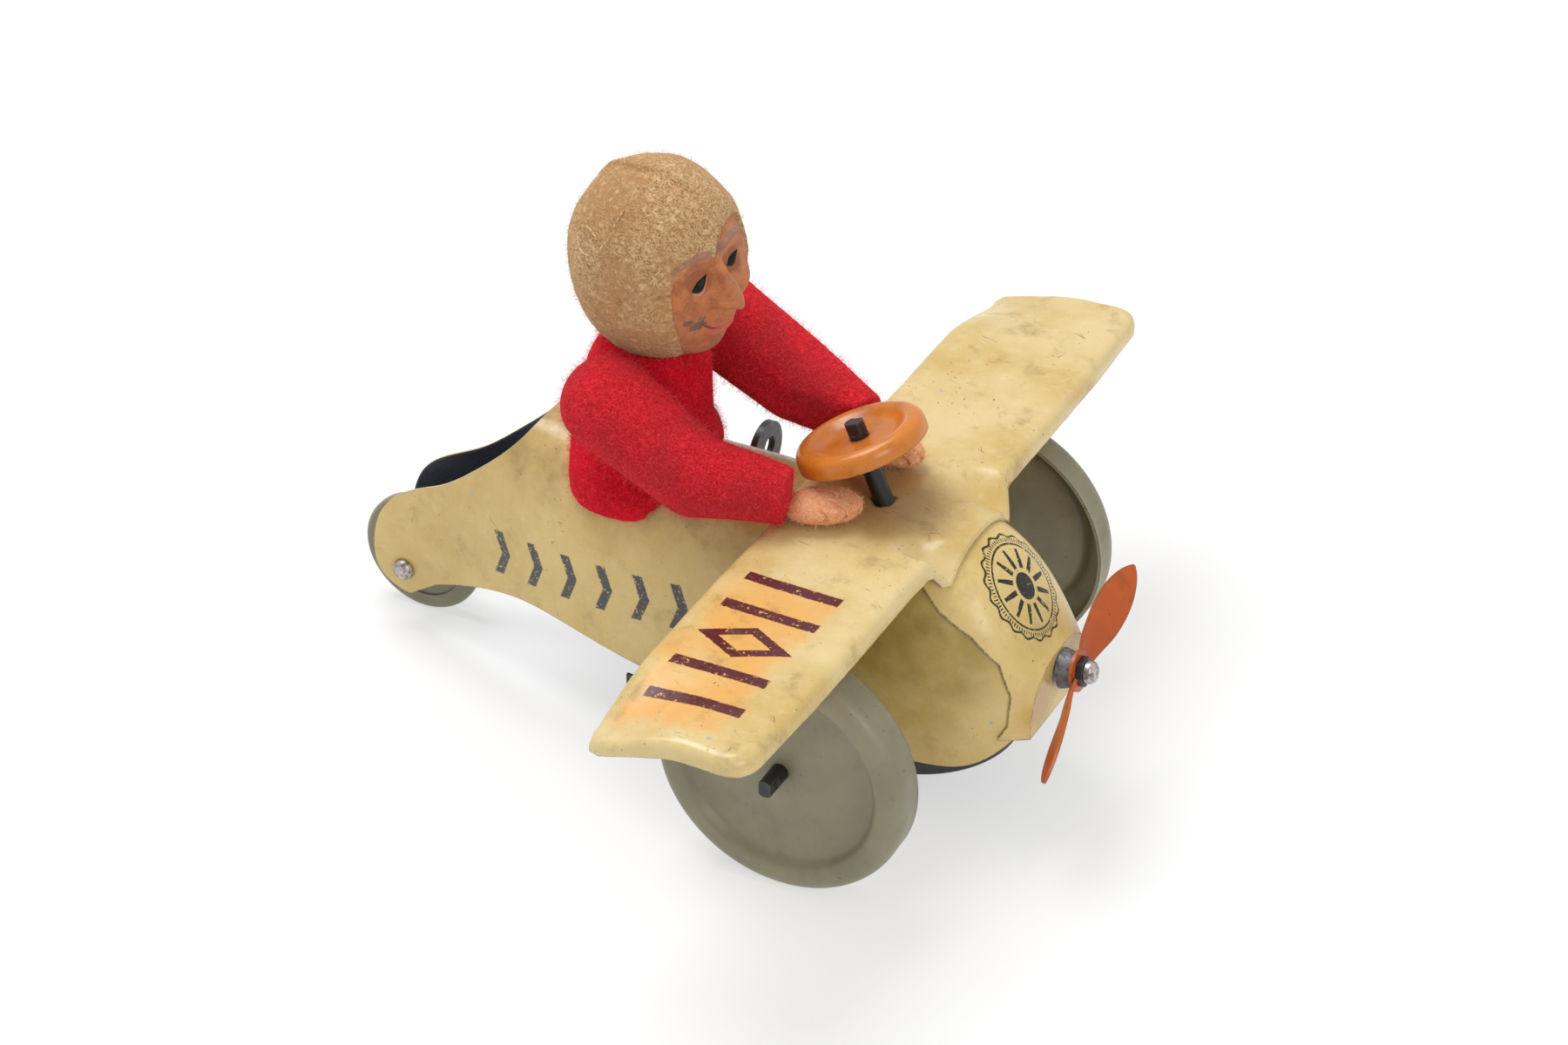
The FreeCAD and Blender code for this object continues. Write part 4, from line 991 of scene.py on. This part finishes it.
def buildHelmet():
    look = {"wall": 1.3, "rings": 84, "around": 200, "bottom": -16.15}
    a, b, c = headLook["felt"]
    verts = []
    for i in range(look["rings"]):
        for j in range(look["around"]):
            roll = -180 + 360 * j / look["around"]
            start = windowAngle(roll)
            far = math.radians(start + (179.6 - start) * i / (look["rings"] - 1))
            beta = math.radians(roll)
            point = Vector((a * math.cos(far), b * math.sin(far) * math.cos(beta),
                            c * math.sin(far) * math.sin(beta)))
            normal = Vector((point.x / a ** 2, point.y / b ** 2, point.z / c ** 2)).normalized()
            lump = 0.34 * noise.noise(point * 0.16) + 0.12 * noise.noise(point * 0.5 + Vector((5, 2, 9)))
            hem = smoothStep(5, 0, i)
            lump -= 0.25 * hem
            seamY = -1.4 + 0.35 * max(0.0, point.x) + 0.25 * math.sin(point.x * 0.6)
            crown = smoothStep(3, 9, point.z) * smoothStep(9, 6, point.x) * smoothStep(-13, -8, point.x)
            lump += crown * (0.4 * bump(point.y, seamY + 0.9, 0.8) - 0.65 * bump(point.y, seamY, 0.34))
            dart = bump(point.z, 1.7 + 0.12 * (12.0 - point.x), 0.3) * smoothStep(8.0, 10.2, point.x)
            lump -= 0.6 * dart * smoothStep(6, 8, abs(point.y))
            dimple = (point - Vector((4.4, -13.6, 0.4))).length
            lump -= 0.7 * math.exp(-(dimple / 0.9) ** 2)
            lump += 0.45 * bump(math.hypot(point.x - 11.5, point.z + 2.5), 0, 5.0) * smoothStep(7, 9,
                                                                                                abs(point.y))
            point += normal * lump
            nape = smoothStep(-11, -15, point.z) * smoothStep(-2, -9, point.x)
            point.z = max(point.z, look["bottom"] + 0.3 * math.sin(roll * 0.11)) + 0.8 * nape
            verts.append(tuple(headPoint(point)))
    faces = gridFaces(look["rings"], look["around"], closed=True)
    last = (look["rings"] - 1) * look["around"]
    faces.append([last + k for k in range(look["around"])])
    helmet = makePiece("felt_helmet", verts, faces, tanFelt)
    tidyMesh(helmet, 1e-7)
    turnOutward(helmet)
    area = sum(p.area for p in helmet.data.polygons)
    addModifier(helmet, "SOLIDIFY", thickness=look["wall"] * mm, offset=-1.0, use_even_offset=False)
    applyModifiers(helmet)
    shadeSmooth(helmet)
    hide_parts("helmet")
    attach(helmet, "head")
    print("helmet felt", round(area * 1e4, 1), "square cm")
    return helmet, area


def buildFilling():
    # the wadding inside the head, only just behind the mask and the felt
    look = {"inside": 1.9, "rings": 24, "around": 48}
    a, b, c = (r - look["inside"] for r in headLook["felt"])
    verts = []
    for i in range(look["rings"]):
        tilt = math.pi * (i + 0.02) / (look["rings"] - 0.96)
        for j in range(look["around"]):
            turn = math.tau * j / look["around"]
            local = Vector((a * math.sin(tilt) * math.cos(turn), b * math.sin(tilt) * math.sin(turn),
                            c * math.cos(tilt)))
            local += local.normalized() * 0.25 * noise.noise(local * 0.6)
            verts.append(tuple(headPoint(local)))
    faces = gridFaces(look["rings"], look["around"], closed=True)
    last = (look["rings"] - 1) * look["around"]
    faces += [list(range(look["around"]))[::-1], [last + k for k in range(look["around"])]]
    filling = makePiece("head_wadding", verts, faces, tanFelt)
    turnOutward(filling)
    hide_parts("head_core")
    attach(filling, "head")


buildFilling()
buildFace()
buildEyes()
helmet, helmetArea = buildHelmet()
print("head made")

# stuffed felt: each piece swells a little under cloth pressure from a remeshed copy of its frame solid


clothLook = {"quality": 5, "mass": 0.25, "tension_stiffness": 12, "compression_stiffness": 6,
             "shear_stiffness": 5,
             "bending_stiffness": 0.4, "use_pressure": True}


def stuffFelt(name, node, body, material, look):
    source = nodes[node].data.copy()
    piece = placeObject(name, source)
    source.transform(Matrix.Scale(10, 4))
    addModifier(piece, "WELD", merge_threshold=2e-5)
    addModifier(piece, "REMESH", mode="VOXEL", voxel_size=look["voxel"] * 0.01, use_smooth_shade=True)
    addModifier(piece, "SMOOTH", factor=0.5, iterations=look["soften"])
    applyModifiers(piece)
    rest = [v.co.copy() for v in piece.data.vertices]
    cloth = piece.modifiers.new("cloth", "CLOTH")
    for setting, value in clothLook.items():
        setattr(cloth.settings, setting, value)
    cloth.settings.uniform_pressure_force = look["pressure"]
    cloth.settings.effector_weights.gravity = 0
    cloth.point_cache.frame_start = 1
    cloth.point_cache.frame_end = look["frames"]
    for frameNumber in range(1, look["frames"] + 1):
        bpy.context.scene.frame_set(frameNumber)
    applyModifiers(piece)
    bpy.context.scene.frame_set(1)
    cap = look["cap"] * 0.01
    for vertex, start in zip(piece.data.vertices, rest):
        move = vertex.co - start
        if move.length > cap:
            move *= cap / move.length
        point = start + move
        ripple = noise.noise(point * look["rippleScale"]) * look["ripple"] * 0.01
        if look.get("fingers"):
            along = point.x * 100 - look["fingerFrom"]
            across = (point.y * 100 - look["fingerY"]) * math.tau / look["fingers"]
            ripple -= look["fingerDepth"] * 0.01 * smoothStep(0, 2.2, along) * max(0.0, math.cos(across)) ** 5
        vertex.co = (point + vertex.normal * ripple) * 0.1
    piece.data.materials.clear()
    piece.data.materials.append(material)
    addModifier(piece, "SUBSURF", levels=1, render_levels=1)
    applyModifiers(piece)
    shadeSmooth(piece)
    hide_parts(node)
    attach(piece, body)
    print(name, len(piece.data.polygons), "faces")
    return piece


torsoLook = {"voxel": 0.75, "soften": 4, "pressure": 4.0, "frames": 20, "cap": 0.45, "ripple": 0.35,
             "rippleScale": 9.0,
             "fill": 0.85}
armLook = dict(torsoLook, voxel=0.6, cap=0.3, rippleScale=12.0)
handLook = dict(torsoLook, voxel=0.35, soften=2, cap=0.2, ripple=0.25, rippleScale=26.0, fingers=2.3,
                fingerDepth=0.85)
leftHandLook = dict(handLook, fingerFrom=27.0, fingerY=9.4)
rightHandLook = dict(handLook, fingerFrom=25.0, fingerY=-11.2)
torso = stuffFelt("jacket_torso", "torso_jacket", "airframe", redFelt, torsoLook)
sleeveLeft = stuffFelt("jacket_sleeve_left", "sleeve_left", "arm_left", sleeveFelt, armLook)
sleeveRight = stuffFelt("jacket_sleeve_right", "sleeve_right", "arm_right", sleeveFelt, armLook)
handLeft = stuffFelt("mitten_left", "hand_left", "arm_left", peachFelt, leftHandLook)
handRight = stuffFelt("mitten_right", "hand_right", "arm_right", peachFelt, rightHandLook)

# loose fibres standing off the felt, and a few pulled threads


def buildFuzzTree():
    tree, want, made = newGroup("feltFuzz", [
        ("Geometry", "Geometry", None), ("Density", "Float", 1e6), ("Length", "Float", 0.0012),
        ("Thickness", "Float", 0.00002), ("Lie", "Float", 1.0), ("Seed", "Int", 3), ("Wool", "Material", None)],
        [("Geometry", "Geometry")], "GeometryNodeTree")

    def node(kind, inputs=None, **values):
        return addNode(tree, kind, inputs, **values).outputs

    points = node("GeometryNodeDistributePointsOnFaces",
                  {"Mesh": want["Geometry"], "Density": want["Density"], "Seed": want["Seed"]})
    # a narrow strip along x, bent into an arch
    fibre = node("GeometryNodeMeshGrid", {"Size X": 1.0, "Size Y": 1.0, "Vertices X": 6, "Vertices Y": 2})
    apart = node("ShaderNodeSeparateXYZ", {0: node("GeometryNodeInputPosition")[0]})
    half = plus(tree, apart[0], 0.5)
    angle = times(tree, half, 2.3)
    arch = times(tree, maths(tree, "SINE", angle), 0.42)
    swing = maths(tree, "MULTIPLY_ADD", maths(tree, "COSINE", angle), 0.18, apart[1])
    place = node("ShaderNodeCombineXYZ", {0: half, 1: swing, 2: arch})
    bow = node("GeometryNodeSetPosition", {"Geometry": fibre["Mesh"], "Position": place[0]})
    spin = node("FunctionNodeRandomValue", {0: (-0.55, -0.75, 0.0), 1: (0.55, 0.35, 6.2832),
                                            "Seed": want["Seed"]},
                data_type="FLOAT_VECTOR")
    local = node("FunctionNodeEulerToRotation", {0: spin[0]})
    turn = node("FunctionNodeRotateRotation", {"Rotation": points["Rotation"], "Rotate By": local[0]},
                rotation_space="LOCAL")
    long = node("FunctionNodeRandomValue", {2: 0.35, 3: 1.0, "Seed": want["Seed"]}, data_type="FLOAT")
    length = times(tree, long[1], want["Length"])
    size = node("ShaderNodeCombineXYZ", {0: length, 1: want["Thickness"], 2: times(tree, length, want["Lie"])})
    scatter = node("GeometryNodeInstanceOnPoints", {"Points": points["Points"], "Instance": bow["Geometry"],
                                                    "Rotation": turn[0], "Scale": size[0]})
    real = node("GeometryNodeRealizeInstances", {0: scatter[0]})
    finish = node("GeometryNodeSetMaterial", {"Geometry": real[0], "Material": want["Wool"]})
    tree.links.new(finish[0], made["Geometry"])
    return tree


def woolFibre(name, pale, deep):
    material, tree, shader = newMaterial(name)
    place = millimetres(tree)[0]
    colour = paintOver(tree, pale, deep, ramp(tree, noiseAt(tree, place, 2.0, 3.0), 0.35, 0.65))
    tree.links.new(colour, shader.inputs["Base Color"])
    setValues(shader, Roughness=0.8, SpecularIORLevel=0.2)
    return material


fuzzTree = buildFuzzTree()
redFibre = woolFibre("redWool", rgb(240, 84, 90), rgb(200, 22, 38))
tanFibre = woolFibre("tanWool", rgb(226, 198, 154), rgb(164, 124, 78))
peachFibre = woolFibre("peachWool", rgb(252, 214, 178), rgb(234, 158, 108))


def addFuzz(name, piece, body, look):
    growth = placeObject(name, piece.data.copy())
    modifier = growth.modifiers.new("fuzz", "NODES")
    modifier.node_group = fuzzTree
    sockets = {item.name: item.identifier for item in fuzzTree.interface.items_tree if item.in_out == "INPUT"}
    for label, value in look.items():
        modifier[sockets[label]] = value
    applyModifiers(growth)
    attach(growth, body)
    print(name, len(growth.data.polygons), "strips")


torsoFuzz = {"Density": 2.8e6, "Length": 0.0017, "Thickness": 0.000034, "Lie": 0.8, "Seed": 3, "Wool": redFibre}
handFuzz = dict(torsoFuzz, Density=6e6, Length=0.001, Wool=peachFibre)
addFuzz("fuzz_torso", torso, "airframe", torsoFuzz)
addFuzz("fuzz_sleeve_left", sleeveLeft, "arm_left", dict(torsoFuzz, Seed=5))
addFuzz("fuzz_sleeve_right", sleeveRight, "arm_right", dict(torsoFuzz, Seed=6))
addFuzz("fuzz_mitten_left", handLeft, "arm_left", dict(handFuzz, Seed=8))
addFuzz("fuzz_mitten_right", handRight, "arm_right", dict(handFuzz, Seed=9))
addFuzz("fuzz_helmet", helmet, "head", dict(torsoFuzz, Seed=4, Density=1.5e6, Length=0.0014,
                                                        Wool=tanFibre))


def looseThread(name, points, thickness, material, body):
    curve = bpy.data.curves.new(name, "CURVE")
    curve.dimensions = "3D"
    curve.bevel_depth = thickness * mm / 2
    curve.bevel_resolution = 2
    curve.resolution_u = 6
    spline = curve.splines.new("NURBS")
    spline.points.add(len(points) - 1)
    for point, place in zip(spline.points, points):
        point.co = (*(Vector(place) * mm), 1.0)
    spline.order_u = 4
    spline.use_endpoint_u = True
    holder = placeObject(name, curve)
    mesh = bpy.data.meshes.new_from_object(holder.evaluated_get(bpy.context.evaluated_depsgraph_get()))
    bpy.data.objects.remove(holder)
    thread = placeObject(name, mesh)
    mesh.materials.clear()
    mesh.materials.append(material)
    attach(thread, body)


def helmetSpot(x, z, out):
    # a place on the starboard side of the helmet, so far out from the felt
    a, b, c = headLook["felt"]
    point = Vector((x, -math.sqrt(max(0.0, 1 - (x / a) ** 2 - (z / c) ** 2)) * b, z))
    return headPoint(point + Vector((x / a ** 2, point.y / b ** 2, z / c ** 2)).normalized() * out)


threadPath = [(2.1, 14.2, 0.1), (1.9, 13.0, 0.5), (2.0, 11.2, 0.7), (1.2, 9.0, 0.8), (-0.4, 7.3, 0.8),
              (-2.2, 6.6, 0.8), (-4.0, 7.4, 0.8),
              (-4.8, 9.2, 0.7), (-4.0, 10.6, 0.8), (-2.2, 10.6, 0.7), (-0.6, 9.6, 0.2)]
looseThread("loose_thread_crown", [helmetSpot(*p) for p in threadPath], 0.24, tanFibre, "head")
strayPath = [(1.6, 9.4, 0.1), (2.4, 8.8, 0.7), (3.2, 9.2, 0.8), (3.8, 8.4, 0.3)]
looseThread("loose_thread_side", [helmetSpot(*p) for p in strayPath], 0.1, tanFibre, "head")
print("fibres grown")
